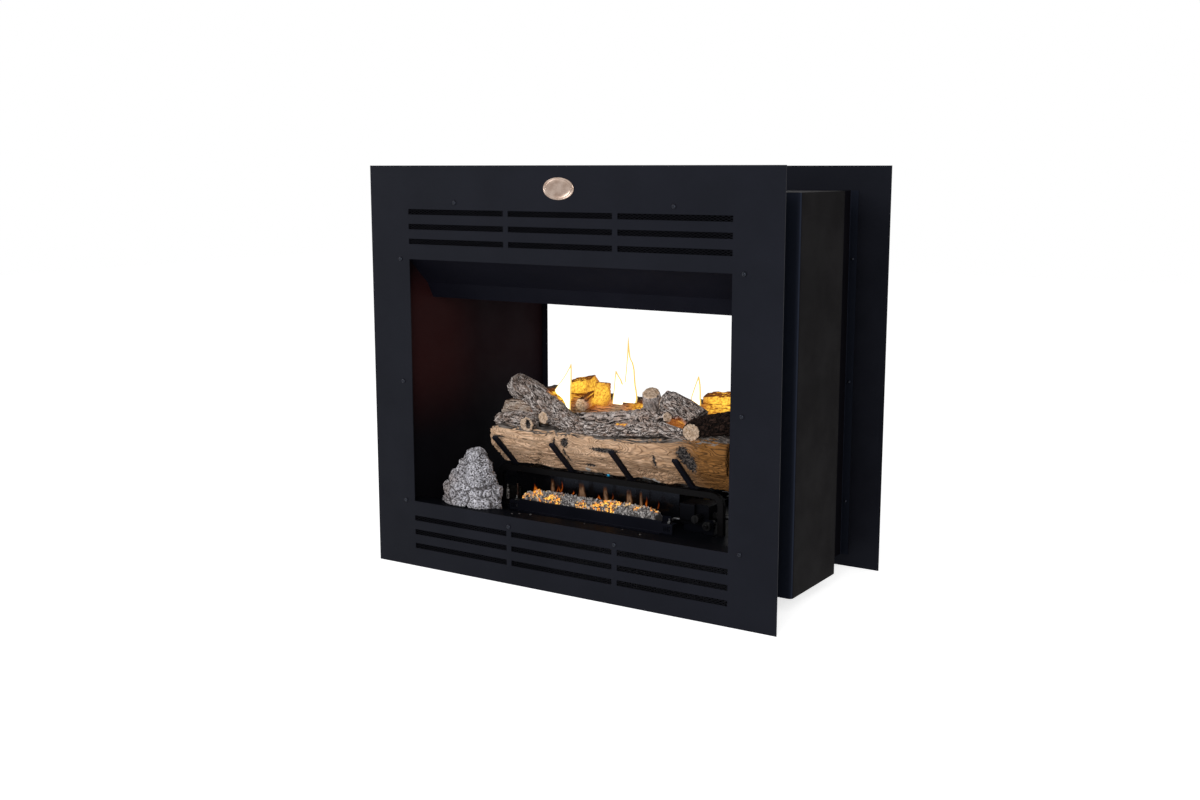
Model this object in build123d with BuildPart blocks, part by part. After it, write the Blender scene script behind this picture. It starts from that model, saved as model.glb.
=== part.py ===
"""See-through gas fireplace insert: a sheet-steel firebox open on two faces, with a gas log set.

Millimetres, +Z up. X runs across the front, Y from front to rear. The origin is on the line that
the two face panels stand on, at mid width and mid depth. Everything of the log set keeps its
place from the middle of the hearth; everything of the casing keeps its place from the panels.
"""

import os
from math import atan2, cos, pi, sin, tan

from build123d import *

os.makedirs("parts", exist_ok=True)

# ---- Casing: driving dimensions -----------------------------------------------------------------
width = 1016.0  # face panel, across
depth = 533.0  # outer face of the front panel to outer face of the rear panel
panel_sheet = 2.0
opening_width = 800.0
opening_height = 549.0
opening_sill = 152.0  # lower edge of the opening above the panel's lower edge

slot_columns = 3
slot_rows = 3
slot_gap = 12.7  # bridge between two slots of a row
slot_height = 12.0
slot_row_pitch = 32.3
louvre_offset = 71.4  # middle slot row from the edge of the opening

mesh_sheet = 1.2
mesh_margin = 2.5  # mesh panel past the outermost slots
mesh_cells = 21  # diamonds along one slot row
mesh_strand = 3.0

body_sheet = 1.5  # walls, ceiling, floor, base pan, canopies
wall_reveal = 14.5  # side wall set back from the edge of the opening
wall_flange = 20.0
bend_radius = 3.0
side_clearance = 0.5  # sheet parts that sit between the two side walls
casing_lift = 27.0  # lower edge of the box above the lower edge of the panels
casing_drop = 54.0  # upper edge of the box below the upper edge of the panels
screw_row_offset = 15.3  # upper fixing screws above the top slot row
panel_top_margin = 79.0  # upper edge of the panel above those screws
top_flange_margin = 5.0  # top flange starts this far above the top slot row

shield_sheet = 1.2
shield_reach = 52.0  # stands this far off the side wall
shield_depth = 224.0
shield_lip = 14.0
shield_bend = 8.0

ceiling_gap = 2.0  # ceiling above the top edge of the opening
ceiling_flange = 15.0
divider_flange = 20.0
sill_depth = 45.0
sill_drop = 15.0  # hearth floor below the sill
sill_screw_drop = 23.0  # screws below the edge of the opening
sill_flange = 30.0
pan_flange = 11.0
anchor_spacing_x = 700.0
anchor_spacing_y = 380.0
anchor_radius = 4.5

canopy_lip = 11.0
canopy_knee_reach = 76.0  # from the inside of the panel
canopy_knee_drop = 58.0
canopy_edge_reach = 95.0
canopy_edge_drop = 92.0

# ---- Fixings ------------------------------------------------------------------------------------
screw_head_radius = 5.25
screw_head_height = 3.0
screw_shank_radius = 2.4
screw_clearance = 0.2
screw_length = 9.0
rivet_radius = 1.5
rivet_clearance = 0.1
rivet_head_radius = 2.6
rivet_head_height = 1.0
rivet_grip = 1.5  # rivet past the back of the panel
head_taper = 30.0  # degrees
pin_sides = 8  # small screws, rivets, studs and their holes are drawn with flats

nameplate_length = 76.0
nameplate_height = 46.0
nameplate_sheet = 1.2
nameplate_rim = 0.6
nameplate_rim_width = 2.2
nameplate_rivet_spacing = 63.0
nameplate_rise = 6.9  # middle of the plate above the top of the box

# ---- Grate --------------------------------------------------------------------------------------
rail_bar = 13.0
rail_spacing = 213.0  # front rail to rear rail, middle to middle
rail_height = 90.5  # top of the rails above the hearth floor
rail_bend = 22.0
rail_left_overhang = 48.0  # past the outermost finger
rail_right_overhang = 76.0
finger_count = 4
finger_pitch = 154.5
finger_width = 12.7
finger_sheet = 6.4
finger_reach = 81.0
finger_rise = 75.0

log_length = 602.0
log_short_end = 265.0  # nearer end of a face log, from the middle
front_log_height = 94.0
rear_log_height = 136.0
log_cheek = 56.0  # across the sloping underside that lies on the fingers

# ---- Ember trays and burner ---------------------------------------------------------------------
tray_length = 372.0
tray_sheet = 1.2
tray_face_spacing = 317.0  # front tray face to rear tray face
tray_rim_height = 26.0
tray_rim_depth = 5.0
tray_trough_depth = 36.0
tray_trough_height = 13.0
tray_back_height = 27.0
tray_foot = 10.0
tray_bend = 1.56
bracket_length = 26.0
bracket_height = 21.0
bracket_depth = 22.0
bracket_slot_width = 2.0
bracket_slot_height = 10.5
bracket_slot_pitch = 4.6
bracket_slots = 4
stud_radius = 2.4
stud_height = 31.0
nut_across_flats = 8.2
nut_height = 4.0
ember_end_margin = 2.0
ember_corner = 2.4  # clears the bends of the trough
ember_front_slope = 6.0
ember_front_rise = 8.0  # above the rim of the tray
ember_rear_slope = 11.0
ember_rear_rise = 17.0
ember_end_share = 0.55  # height of the heap at its two ends
ember_rear_drop = 2.0  # where the heap meets the back of the trough, below the rim
ember_lumps = (0, 3, 1, 4, 2)  # extra rise at each station in turn
ember_stations = 13

burner_left = -235.0
burner_right = 195.0
burner_depth = 197.0
burner_base = 13.0  # above the hearth floor
burner_height = 63.0
burner_foot = 14.0
burner_foot_inset = 55.0  # middle of a foot from the end of the burner
burner_foot_half = 15.0
burner_foot_margin = 6.0  # feet shorter than the burner's depth at each side
port_count = 8
port_length = 30.0
port_width = 3.0
port_row_spacing = 90.0

venturi_radius = 12.0
venturi_mouth_radius = 17.0
venturi_length = 150.0
venturi_wall = 1.5
venturi_mouth_length = 8.0
orifice_gap = 2.0  # between the orifice and the mouth
orifice_across_flats = 17.0
orifice_length = 14.0
orifice_bore = 1.2
tube_sides = 12
supply_radius = 4.8
supply_bend = 20.0
supply_reach = 26.0  # orifice to the middle of the upright run

pilot_offset = 1.0  # pilot outside the left end of the burner
pilot_stand_off = 5.5  # pilot in front of the burner
pilot_tube_radius = 3.0
pilot_tube_bend = 10.0
pilot_tube_lead = 18.0  # level run out of the valve
pilot_tube_fall = 14.0  # sloping run down to the hearth floor
pilot_tube_lift = 1.0  # long run above the hearth floor
pilot_start_rise = 21.0
pilot_tube_rise = 27.0
pilot_hood_rise = 34.0
pilot_hood_radius = 4.5
pilot_hood_length = 24.0
pilot_plate_half = 21.0
pilot_plate_height = 41.0
pilot_foot = 18.0
probe_radius = 3.5
probe_rise = 10.0
probe_spacing = 28.0
thermocouple_radius = 2.0
thermocouple_shoulder = 17.0
thermocouple_length = 39.0
electrode_radius = 0.9
electrode_shoulder = 22.0
electrode_length = 34.0

fit_clearance = 0.05  # running fit, on the radius
part_clearance = 0.3  # between pieces that only rest near each other

# ---- Controls -----------------------------------------------------------------------------------
valve_gap = 9.0  # valve clear of the right end of the burner
valve_width = 68.0
valve_depth = 46.0
valve_height = 45.0
valve_corner = 4.0
valve_base = 15.0  # above the hearth floor
valve_stand_off = 9.5  # face of the valve in front of the burner
valve_bracket_inset = 4.0
valve_bracket_end_inset = 6.0
cover_inset = 1.0
cover_width = 37.0
cover_height = 37.0
cover_depth = 8.0
cover_edge = 2.0
spindle_inset = 48.0  # from the left side of the valve
spindle_rise = 18.0  # above the underside of the valve
spindle_radius = 3.0
spindle_flat = 0.7
spindle_reach = 10.0  # inside the knob
spindle_bore = 20.0  # inside the valve
boss_radius = 8.0
boss_length = 5.0
knob_radius = 9.0
knob_length = 17.0
knob_edge = 1.2
knob_travel = 4.0
knob_grip_width = 3.0
knob_grip_length = 13.5
knob_grip_height = 2.0

igniter_gap = 11.0  # middle of the igniter from the right side of the valve
igniter_rise = 24.0
igniter_stand_off = 32.0  # in front of the valve's face
igniter_radius = 8.0
igniter_length = 30.0
igniter_plate_setback = 13.5
igniter_plate_half = 9.5
igniter_foot = 18.0
bezel_depth = 2.0
bezel_margin = 1.5
button_radius = 5.0
button_length = 12.0
button_travel = 5.0
button_margin = 1.0  # button still proud of its barrel when pressed
button_edge = 1.0

gas_pipe_radius = 6.35
gas_pipe_bend = 25.0
gas_pipe_rise = 20.0  # above the underside of the valve
gas_inlet_y = -150.0
inlet_radius = 11.0
inlet_bore = 7.5
inlet_thread_depth = 15.0
inlet_length = 38.0
inlet_hex_length = 12.0
inlet_hex_margin = 3.0

# ---- Rock ---------------------------------------------------------------------------------------
rock_x = -282.0
rock_setback = 9.5  # front of the rock from the back of the front panel
rock_width = 160.0
rock_depth = 92.0
rock_height = 137.0
rock_lean = 20.0  # top of the rock stands this far to the right of its foot
rock_sides = 12
rock_wobble = 0.07  # share by which the corners of a slab fall short
rock_wobble_steps = 4

# ---- Places worked out from the sizes above -----------------------------------------------------
screw_hole_radius = screw_shank_radius + screw_clearance
rivet_hole_radius = rivet_radius + rivet_clearance
panel_face = depth / 2
panel_back = depth / 2 - panel_sheet
opening_top = opening_sill + opening_height
slot_length = (opening_width - (slot_columns - 1) * slot_gap) / slot_columns
slot_column_pitch = slot_length + slot_gap
louvre_half = (slot_rows - 1) * slot_row_pitch / 2 + slot_height / 2
upper_louvre = opening_top + louvre_offset
lower_louvre = opening_sill - louvre_offset
wall_face = opening_width / 2 + wall_reveal
wall_back = wall_face + body_sheet
inner_half_width = wall_face - side_clearance
flange_screw_x = wall_face + (body_sheet + wall_flange) / 2
side_screw_heights = (opening_sill, (opening_sill + opening_top) / 2, opening_top)
top_screw_z = upper_louvre + louvre_half + screw_row_offset
height = top_screw_z + panel_top_margin
casing_top = height - casing_drop
sill_screw_z = opening_sill - sill_screw_drop
nameplate_z = casing_top + nameplate_rise
ceiling_z = opening_top + ceiling_gap
floor_z = opening_sill - sill_drop
rail_top = floor_z + rail_height
rail_y = rail_spacing / 2
tray_face = tray_face_spacing / 2
tray_half = tray_length / 2
burner_z = floor_z + burner_base
burner_top = burner_z + burner_height
burner_y = burner_depth / 2
valve_z = floor_z + valve_base
valve_left = burner_right + valve_gap
valve_right = valve_left + valve_width
valve_face_y = -burner_y - valve_stand_off
valve_back_y = valve_face_y + valve_depth
spindle_x = valve_left + spindle_inset
spindle_z = valve_z + spindle_rise
knob_gap = knob_travel + part_clearance
igniter_x = valve_right + igniter_gap
igniter_z = floor_z + igniter_rise
gas_pipe_z = valve_z + gas_pipe_rise

# Fixing screws of one face panel, as (x, z): six down the sides, two above, two below.
side_screws = [(side * flange_screw_x, z) for side in (-1, 1) for z in side_screw_heights]
top_screws = [(side * slot_column_pitch, top_screw_z) for side in (-1, 1)]
sill_screws = [(side * slot_column_pitch / 2, sill_screw_z) for side in (-1, 1)]


def write_piece(piece, name):
    """Label a finished piece and write its STEP file."""
    piece.part.label = name
    export_step(piece.part, f"parts/{name}.step")


def upright_plane(y):
    """Plane facing the front at depth y, drawn in X and Z."""
    return Plane.XZ.offset(-y)


def bent_sheet(plane, outline, sheet, side, half_length, radius=bend_radius):
    """Sheet folded along an outline, its given face on the outline."""
    with BuildPart() as folded:
        with BuildSketch(plane):
            with BuildLine():
                FilletPolyline(*outline, radius=radius)
                offset(amount=sheet, side=side)
            make_face()
        extrude(amount=half_length, both=True)
    return folded


# ---- Face panels: laser-cut flat sheets, the opening between two blocks of louvre slots ---------
def face_panel(face_y, named):
    """Face panel whose rearmost sketch plane lies at face_y; named adds the nameplate's rivet holes."""
    with BuildPart() as panel:
        with BuildSketch(upright_plane(face_y)):
            with Locations((0, height / 2)):
                Rectangle(width, height)
            with Locations((0, opening_sill + opening_height / 2)):
                Rectangle(opening_width, opening_height, mode=Mode.SUBTRACT)
            for block in (upper_louvre, lower_louvre):
                with Locations((0, block)):
                    with GridLocations(slot_column_pitch, slot_row_pitch, slot_columns, slot_rows):
                        Rectangle(slot_length, slot_height, mode=Mode.SUBTRACT)
            with Locations(*side_screws, *top_screws, *sill_screws):
                RegularPolygon(screw_hole_radius, side_count=pin_sides, mode=Mode.SUBTRACT)
            if named:
                with Locations((0, nameplate_z)):
                    with GridLocations(nameplate_rivet_spacing, 1, 2, 1):
                        RegularPolygon(rivet_hole_radius, side_count=pin_sides, mode=Mode.SUBTRACT)
        extrude(amount=panel_sheet)
    return panel


write_piece(face_panel(-panel_back, True), "front_fascia")
write_piece(face_panel(panel_face, False), "rear_fascia")


# ---- Expanded mesh behind the louvres: one row of diamonds behind each row of slots -------------
def louvre_mesh(face_y, block_z):
    """Mesh panel whose front surface lies at face_y."""
    pitch = opening_width / mesh_cells
    half_x = (pitch - mesh_strand) / 2
    half_z = slot_height / 2 + mesh_strand / 2
    with BuildPart() as mesh:
        with BuildSketch(upright_plane(face_y)):
            with Locations((0, block_z)):
                Rectangle(opening_width + 2 * mesh_margin, 2 * (louvre_half + mesh_margin))
                with GridLocations(pitch, slot_row_pitch, mesh_cells, slot_rows):
                    Polygon((-half_x, 0), (0, -half_z), (half_x, 0), (0, half_z), mode=Mode.SUBTRACT)
        extrude(amount=-mesh_sheet)
    return mesh


for end, face_y in (("front", -panel_back), ("rear", panel_back - mesh_sheet)):
    for block, block_z in (("upper", upper_louvre), ("lower", lower_louvre)):
        write_piece(louvre_mesh(face_y, block_z), f"{end}_{block}_mesh")

# ---- Bare oval nameplate with a raised rim, held by two rivets ----------------------------------
with BuildPart() as nameplate:
    with BuildSketch(upright_plane(-panel_face)):
        with Locations((0, nameplate_z)):
            Ellipse(nameplate_length / 2, nameplate_height / 2)
            with GridLocations(nameplate_rivet_spacing, 1, 2, 1):
                RegularPolygon(rivet_hole_radius, side_count=pin_sides, mode=Mode.SUBTRACT)
    extrude(amount=nameplate_sheet)
    with BuildSketch(upright_plane(-panel_face - nameplate_sheet)):
        with Locations((0, nameplate_z)):
            Ellipse(nameplate_length / 2, nameplate_height / 2)
            Ellipse(
                nameplate_length / 2 - nameplate_rim_width,
                nameplate_height / 2 - nameplate_rim_width,
                mode=Mode.SUBTRACT,
            )
    extrude(amount=nameplate_rim)
write_piece(nameplate, "nameplate")


def capped_pin(head_radius, head_height, shank_radius, shank_length):
    """Screw or rivet on the Z axis, drawn with flats: its head above z = 0 and its shank below."""
    with BuildPart() as pin:
        with BuildSketch():
            RegularPolygon(head_radius, side_count=pin_sides)
        extrude(amount=head_height, taper=head_taper)
        with BuildSketch():
            RegularPolygon(shank_radius, side_count=pin_sides)
        extrude(amount=-shank_length)
    return pin


face_screw = capped_pin(screw_head_radius, screw_head_height, screw_shank_radius, screw_length)
plate_rivet = capped_pin(
    rivet_head_radius, rivet_head_height, rivet_radius, nameplate_sheet + panel_sheet + rivet_grip
)

with BuildPart() as nameplate_rivets:
    for side in (-1, 1):
        spot = (side * nameplate_rivet_spacing / 2, -panel_face - nameplate_sheet, nameplate_z)
        with Locations(Location(spot, (90, 0, 0))):
            add(plate_rivet.part)
write_piece(nameplate_rivets, "nameplate_rivets")

for end, face_y, turn in (("front", -panel_face, 90), ("rear", panel_face, -90)):
    with BuildPart() as fascia_screws:
        for x, z in side_screws + top_screws + sill_screws:
            with Locations(Location((x, face_y, z), (turn, 0, 0))):
                add(face_screw.part)
    write_piece(fascia_screws, f"{end}_fascia_screws")

# ---- Side walls: channels with outward flanges screwed to both face panels ----------------------
wall_height = casing_top - casing_lift
for name, side, hand in (("left", -1, Side.RIGHT), ("right", 1, Side.LEFT)):
    flange_edge = side * (wall_face + wall_flange)
    wall_line = [
        (flange_edge, panel_back),
        (side * wall_face, panel_back),
        (side * wall_face, -panel_back),
        (flange_edge, -panel_back),
    ]
    with BuildPart() as side_wall:
        with BuildSketch(Plane.XY.offset(casing_lift)):
            with BuildLine():
                FilletPolyline(*wall_line, radius=bend_radius)
                offset(amount=body_sheet, side=hand)
            make_face()
        extrude(amount=wall_height)
        with BuildSketch(upright_plane(panel_face)):
            with Locations(*[spot for spot in side_screws if spot[0] * side > 0]):
                RegularPolygon(screw_hole_radius, side_count=pin_sides)
        extrude(amount=depth, mode=Mode.SUBTRACT)
        if side > 0:
            with BuildSketch(Plane.YZ.offset(wall_face - body_sheet)):
                with Locations((gas_inlet_y, gas_pipe_z)):
                    Circle(inlet_radius + part_clearance)
            extrude(amount=3 * body_sheet, mode=Mode.SUBTRACT)
    write_piece(side_wall, f"{name}_side_wall")

# ---- Heat shields: channels with a closed top that stand off the side walls ---------------------
for name, side, hand in (("left", -1, Side.LEFT), ("right", 1, Side.RIGHT)):
    shield_face = wall_back + shield_reach
    half = shield_depth / 2
    inner = wall_back * side
    outer = shield_face * side
    shield_line = [
        (inner, half - shield_lip),
        (inner, half),
        (outer, half),
        (outer, -half),
        (inner, -half),
        (inner, -half + shield_lip),
    ]
    with BuildPart() as heat_shield:
        with BuildSketch(Plane.XY.offset(casing_lift)):
            with BuildLine():
                FilletPolyline(
                    *shield_line, radius=(bend_radius, shield_bend, shield_bend, bend_radius)
                )
                offset(amount=shield_sheet, side=hand)
            make_face()
        extrude(amount=wall_height)
        with BuildSketch(Plane.XY.offset(casing_top)):
            with Locations((side * (wall_back + shield_reach / 2), 0)):
                Rectangle(shield_reach, shield_depth)
            corners = [v for v in vertices() if abs(v.X) > wall_back + shield_reach / 2]
            fillet(corners, shield_bend)
        extrude(amount=shield_sheet)
    write_piece(heat_shield, f"{name}_heat_shield")

# ---- Top panel, firebox ceiling, divider, base pan ----------------------------------------------
top_flange_z = upper_louvre + louvre_half + top_flange_margin
top_line = [
    (-panel_back, top_flange_z),
    (-panel_back, casing_top),
    (panel_back, casing_top),
    (panel_back, top_flange_z),
]
top_fold = bent_sheet(Plane.YZ, top_line, body_sheet, Side.RIGHT, inner_half_width)
with BuildPart() as top_panel:
    add(top_fold.part)
    with BuildSketch(upright_plane(panel_face)):
        with Locations(*top_screws):
            RegularPolygon(screw_hole_radius, side_count=pin_sides)
    extrude(amount=depth, mode=Mode.SUBTRACT)
write_piece(top_panel, "top_panel")

ceiling_line = [
    (-panel_back, ceiling_z + ceiling_flange),
    (-panel_back, ceiling_z),
    (panel_back, ceiling_z),
    (panel_back, ceiling_z + ceiling_flange),
]
firebox_ceiling = bent_sheet(Plane.YZ, ceiling_line, body_sheet, Side.LEFT, inner_half_width)
write_piece(firebox_ceiling, "firebox_ceiling")

# Upright fold that ties the ceiling to the top panel and parts the front and rear louvres.
divider_line = [
    (divider_flange, ceiling_z + body_sheet),
    (0, ceiling_z + body_sheet),
    (0, casing_top - body_sheet),
    (divider_flange, casing_top - body_sheet),
]
top_divider = bent_sheet(Plane.YZ, divider_line, body_sheet, Side.RIGHT, inner_half_width)
write_piece(top_divider, "top_divider")

pan_line = [
    (-panel_back, casing_lift + pan_flange),
    (-panel_back, casing_lift),
    (panel_back, casing_lift),
    (panel_back, casing_lift + pan_flange),
]
pan_fold = bent_sheet(Plane.YZ, pan_line, body_sheet, Side.LEFT, inner_half_width)
with BuildPart() as bottom_pan:
    add(pan_fold.part)
    with BuildSketch(Plane.XY.offset(casing_lift)):
        with GridLocations(anchor_spacing_x, anchor_spacing_y, 2, 2):
            Circle(anchor_radius)
    extrude(amount=body_sheet, mode=Mode.SUBTRACT)
write_piece(bottom_pan, "bottom_pan")

# ---- Hearth floor: one folded sheet, a raised sill and a screwed flange at each face ------------
floor_line = [
    (-panel_back, opening_sill - sill_flange),
    (-panel_back, opening_sill),
    (-panel_back + sill_depth, opening_sill),
    (-panel_back + sill_depth, floor_z),
    (panel_back - sill_depth, floor_z),
    (panel_back - sill_depth, opening_sill),
    (panel_back, opening_sill),
    (panel_back, opening_sill - sill_flange),
]
floor_fold = bent_sheet(Plane.YZ, floor_line, body_sheet, Side.RIGHT, inner_half_width)
with BuildPart() as hearth_floor:
    add(floor_fold.part)
    with BuildSketch(upright_plane(panel_face)):
        with Locations(*sill_screws):
            RegularPolygon(screw_hole_radius, side_count=pin_sides)
    extrude(amount=depth, mode=Mode.SUBTRACT)
write_piece(hearth_floor, "hearth_floor")

# ---- Canopies: folded smoke guards that hang from the ceiling at each face ----------------------
for name, end, hand in (("front", -1, Side.LEFT), ("rear", 1, Side.RIGHT)):
    lip_z = ceiling_z - body_sheet
    canopy_line = [
        (end * panel_back, lip_z),
        (end * (panel_back - canopy_lip), lip_z),
        (end * (panel_back - canopy_knee_reach), lip_z - canopy_knee_drop),
        (end * (panel_back - canopy_edge_reach), lip_z - canopy_edge_drop),
    ]
    canopy = bent_sheet(Plane.YZ, canopy_line, body_sheet, hand, inner_half_width)
    write_piece(canopy, f"{name}_canopy")

# ---- Grate: two rails bent down into legs, and four bars bent up into fingers at both ends ------
half_span = (finger_count - 1) * finger_pitch / 2
rail_line_z = rail_top - rail_bar / 2
left_leg = -half_span - rail_left_overhang + rail_bar / 2
right_leg = half_span + rail_right_overhang - rail_bar / 2
for name, end in (("front", -1), ("rear", 1)):
    with BuildPart() as grate_rail:
        with BuildLine(upright_plane(end * rail_y)):
            FilletPolyline(
                (left_leg, floor_z),
                (left_leg, rail_line_z),
                (right_leg, rail_line_z),
                (right_leg, floor_z),
                radius=rail_bend,
            )
        with BuildSketch(Plane(origin=(left_leg, end * rail_y, floor_z), z_dir=(0, 0, 1))):
            Rectangle(rail_bar, rail_bar)
        sweep()
    write_piece(grate_rail, f"{name}_grate_rail")

finger_line = [
    (-rail_y - finger_reach, rail_top + finger_rise),
    (-rail_y, rail_top),
    (rail_y, rail_top),
    (rail_y + finger_reach, rail_top + finger_rise),
]
with BuildPart() as grate_fingers:
    for number in range(finger_count):
        with BuildSketch(Plane.YZ.offset(number * finger_pitch - half_span)):
            with BuildLine():
                FilletPolyline(*finger_line, radius=finger_sheet)
                offset(amount=finger_sheet, side=Side.LEFT)
            make_face()
        extrude(amount=finger_width / 2, both=True)
write_piece(grate_fingers, "grate_fingers")

# ---- Ember trays: folded troughs in front of the burner, one at each face -----------------------
trough_z = floor_z + tray_trough_height
rim_z = floor_z + tray_rim_height
trough_front = tray_face - tray_rim_depth
trough_back = trough_front - tray_trough_depth
bracket_foot_x = tray_half + bracket_length / 2


def ember_tray(end):
    """Tray of one face; end is -1 at the front and 1 at the rear."""
    hand = Side.RIGHT if end < 0 else Side.LEFT
    line = [
        (end * (tray_face + tray_foot), floor_z + tray_sheet),
        (end * tray_face, floor_z + tray_sheet),
        (end * tray_face, rim_z),
        (end * trough_front, rim_z),
        (end * trough_front, trough_z),
        (end * trough_back, trough_z),
        (end * trough_back, floor_z + tray_back_height),
    ]
    return bent_sheet(Plane.YZ, line, tray_sheet, hand, tray_half, radius=tray_bend)


def ember_bed(end):
    """Loose ember wool heaped in the trough, as one lumpy bed."""
    rear_y = trough_back + part_clearance
    front_y = trough_front - part_clearance
    low = trough_z + part_clearance
    half_length = tray_half - tray_sheet - ember_end_margin
    with BuildPart() as bed:
        for number in range(ember_stations):
            x = half_length * (2 * number / (ember_stations - 1) - 1)
            lump = ember_lumps[number % len(ember_lumps)]
            heap = ember_end_share if number in (0, ember_stations - 1) else 1
            front_z = rim_z + heap * (ember_front_rise + lump)
            rear_z = rim_z + heap * (ember_rear_rise + lump / 2)
            with BuildSketch(Plane.YZ.offset(x)):
                Polygon(
                    (end * rear_y, low + ember_corner),
                    (end * (rear_y + ember_corner), low),
                    (end * (front_y - ember_corner), low),
                    (end * front_y, low + ember_corner),
                    (end * front_y, rim_z),
                    (end * (front_y - ember_front_slope - lump), front_z),
                    (end * (rear_y + ember_rear_slope), rear_z),
                    (end * rear_y, rim_z - ember_rear_drop),
                    align=None,
                )
        loft(ruled=True)
    return bed


for name, end in (("front", -1), ("rear", 1)):
    write_piece(ember_tray(end), f"{name}_ember_tray")
    write_piece(ember_bed(end), f"{name}_ember_bed")

# ---- Slotted brackets and threaded studs that hold the trays down -------------------------------
bracket_z = floor_z + bracket_height
stud_y = tray_face - bracket_depth / 2
stud_spots = [(side * bracket_foot_x, end * stud_y) for side in (-1, 1) for end in (-1, 1)]

with BuildPart() as tray_brackets:
    for side, end in ((-1, -1), (1, -1), (-1, 1), (1, 1)):
        with BuildSketch(Plane.YZ.offset(side * bracket_foot_x)):
            with BuildLine():
                FilletPolyline(
                    (end * tray_face, floor_z),
                    (end * tray_face, bracket_z),
                    (end * (tray_face - bracket_depth), bracket_z),
                    radius=tray_bend,
                )
                offset(amount=tray_sheet, side=Side.RIGHT if end < 0 else Side.LEFT)
            make_face()
        extrude(amount=bracket_length / 2, both=True)
    with BuildSketch(upright_plane(tray_face)):
        for side in (-1, 1):
            with Locations((side * bracket_foot_x, floor_z + bracket_height / 2)):
                with GridLocations(bracket_slot_pitch, 1, bracket_slots, 1):
                    Rectangle(bracket_slot_width, bracket_slot_height)
    extrude(amount=2 * tray_face, mode=Mode.SUBTRACT)
    with BuildSketch(Plane.XY.offset(bracket_z - tray_sheet)):
        with Locations(*stud_spots):
            RegularPolygon(stud_radius + part_clearance, side_count=pin_sides)
    extrude(amount=tray_sheet, mode=Mode.SUBTRACT)
write_piece(tray_brackets, "tray_brackets")

with BuildPart() as tray_studs:
    with BuildSketch(Plane.XY.offset(floor_z)):
        with Locations(*stud_spots):
            RegularPolygon(stud_radius, side_count=pin_sides)
    extrude(amount=stud_height)
    with BuildSketch(Plane.XY.offset(bracket_z)):
        with Locations(*stud_spots):
            RegularPolygon(nut_across_flats / 2, side_count=6, major_radius=False)
    extrude(amount=nut_height)
write_piece(tray_studs, "tray_studs")

# ---- Burner: a folded box on two feet, closed by a slotted port plate ---------------------------
burner_mid = (burner_left + burner_right) / 2
burner_length = burner_right - burner_left
venturi_z = burner_z + burner_height / 2
with BuildPart() as burner_pan:
    with BuildSketch(Plane.XY.offset(burner_z)):
        with Locations((burner_mid, 0)):
            Rectangle(burner_length, burner_depth)
    extrude(amount=burner_height - body_sheet)
    offset(amount=-body_sheet, openings=faces().sort_by(Axis.Z)[-1])
    with BuildSketch(Plane.YZ.offset(burner_right - 2 * body_sheet)):
        with Locations((0, venturi_z)):
            Circle(venturi_radius + part_clearance)
    extrude(amount=3 * body_sheet, mode=Mode.SUBTRACT)
write_piece(burner_pan, "burner_pan")

with BuildPart() as burner_port_plate:
    with BuildSketch(Plane.XY.offset(burner_top - body_sheet)):
        with Locations((burner_mid, 0)):
            Rectangle(burner_length, burner_depth)
            with GridLocations(burner_length / port_count, port_row_spacing, port_count, 2):
                Rectangle(port_length, port_width, mode=Mode.SUBTRACT)
    extrude(amount=body_sheet)
write_piece(burner_port_plate, "burner_port_plate")

foot_top = burner_z - body_sheet
with BuildPart() as burner_feet:
    for x in (burner_left + burner_foot_inset, burner_right - burner_foot_inset):
        with BuildSketch(upright_plane(0)):
            with BuildLine():
                FilletPolyline(
                    (x - burner_foot_half - burner_foot, floor_z),
                    (x - burner_foot_half, floor_z),
                    (x - burner_foot_half, foot_top),
                    (x + burner_foot_half, foot_top),
                    (x + burner_foot_half, floor_z),
                    (x + burner_foot_half + burner_foot, floor_z),
                    radius=bend_radius,
                )
                offset(amount=body_sheet, side=Side.LEFT)
            make_face()
        extrude(amount=burner_y - burner_foot_margin, both=True)
write_piece(burner_feet, "burner_feet")

with BuildPart() as venturi_tube:
    with BuildSketch(upright_plane(0)):
        throat = venturi_z + venturi_radius
        mouth = venturi_z + venturi_mouth_radius
        outer_end = burner_right + venturi_mouth_length
        inner_end = burner_right - venturi_length
        Polygon(
            (inner_end, throat - venturi_wall),
            (inner_end, throat),
            (burner_right + part_clearance, throat),
            (outer_end, mouth),
            (outer_end, mouth - venturi_wall),
            (burner_right + part_clearance, throat - venturi_wall),
            align=None,
        )
    revolve(axis=Axis((0, 0, venturi_z), (1, 0, 0)))
write_piece(venturi_tube, "venturi_tube")

orifice_start = outer_end + orifice_gap
supply_x = orifice_start + orifice_length + supply_reach
with BuildPart() as orifice_fitting:
    with BuildSketch(Plane.YZ.offset(orifice_start)):
        with Locations((0, venturi_z)):
            RegularPolygon(orifice_across_flats / 2, side_count=6, major_radius=False)
            Circle(orifice_bore, mode=Mode.SUBTRACT)
    extrude(amount=orifice_length)
write_piece(orifice_fitting, "orifice_fitting")

with BuildPart() as burner_supply_tube:
    with BuildLine(Plane.XY.offset(venturi_z)):
        FilletPolyline(
            (supply_x, valve_back_y),
            (supply_x, 0),
            (orifice_start + orifice_length, 0),
            radius=supply_bend,
        )
    with BuildSketch(Plane(origin=(supply_x, valve_back_y, venturi_z), z_dir=(0, 1, 0))):
        RegularPolygon(supply_radius, side_count=tube_sides)
    sweep()
write_piece(burner_supply_tube, "burner_supply_tube")

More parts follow.
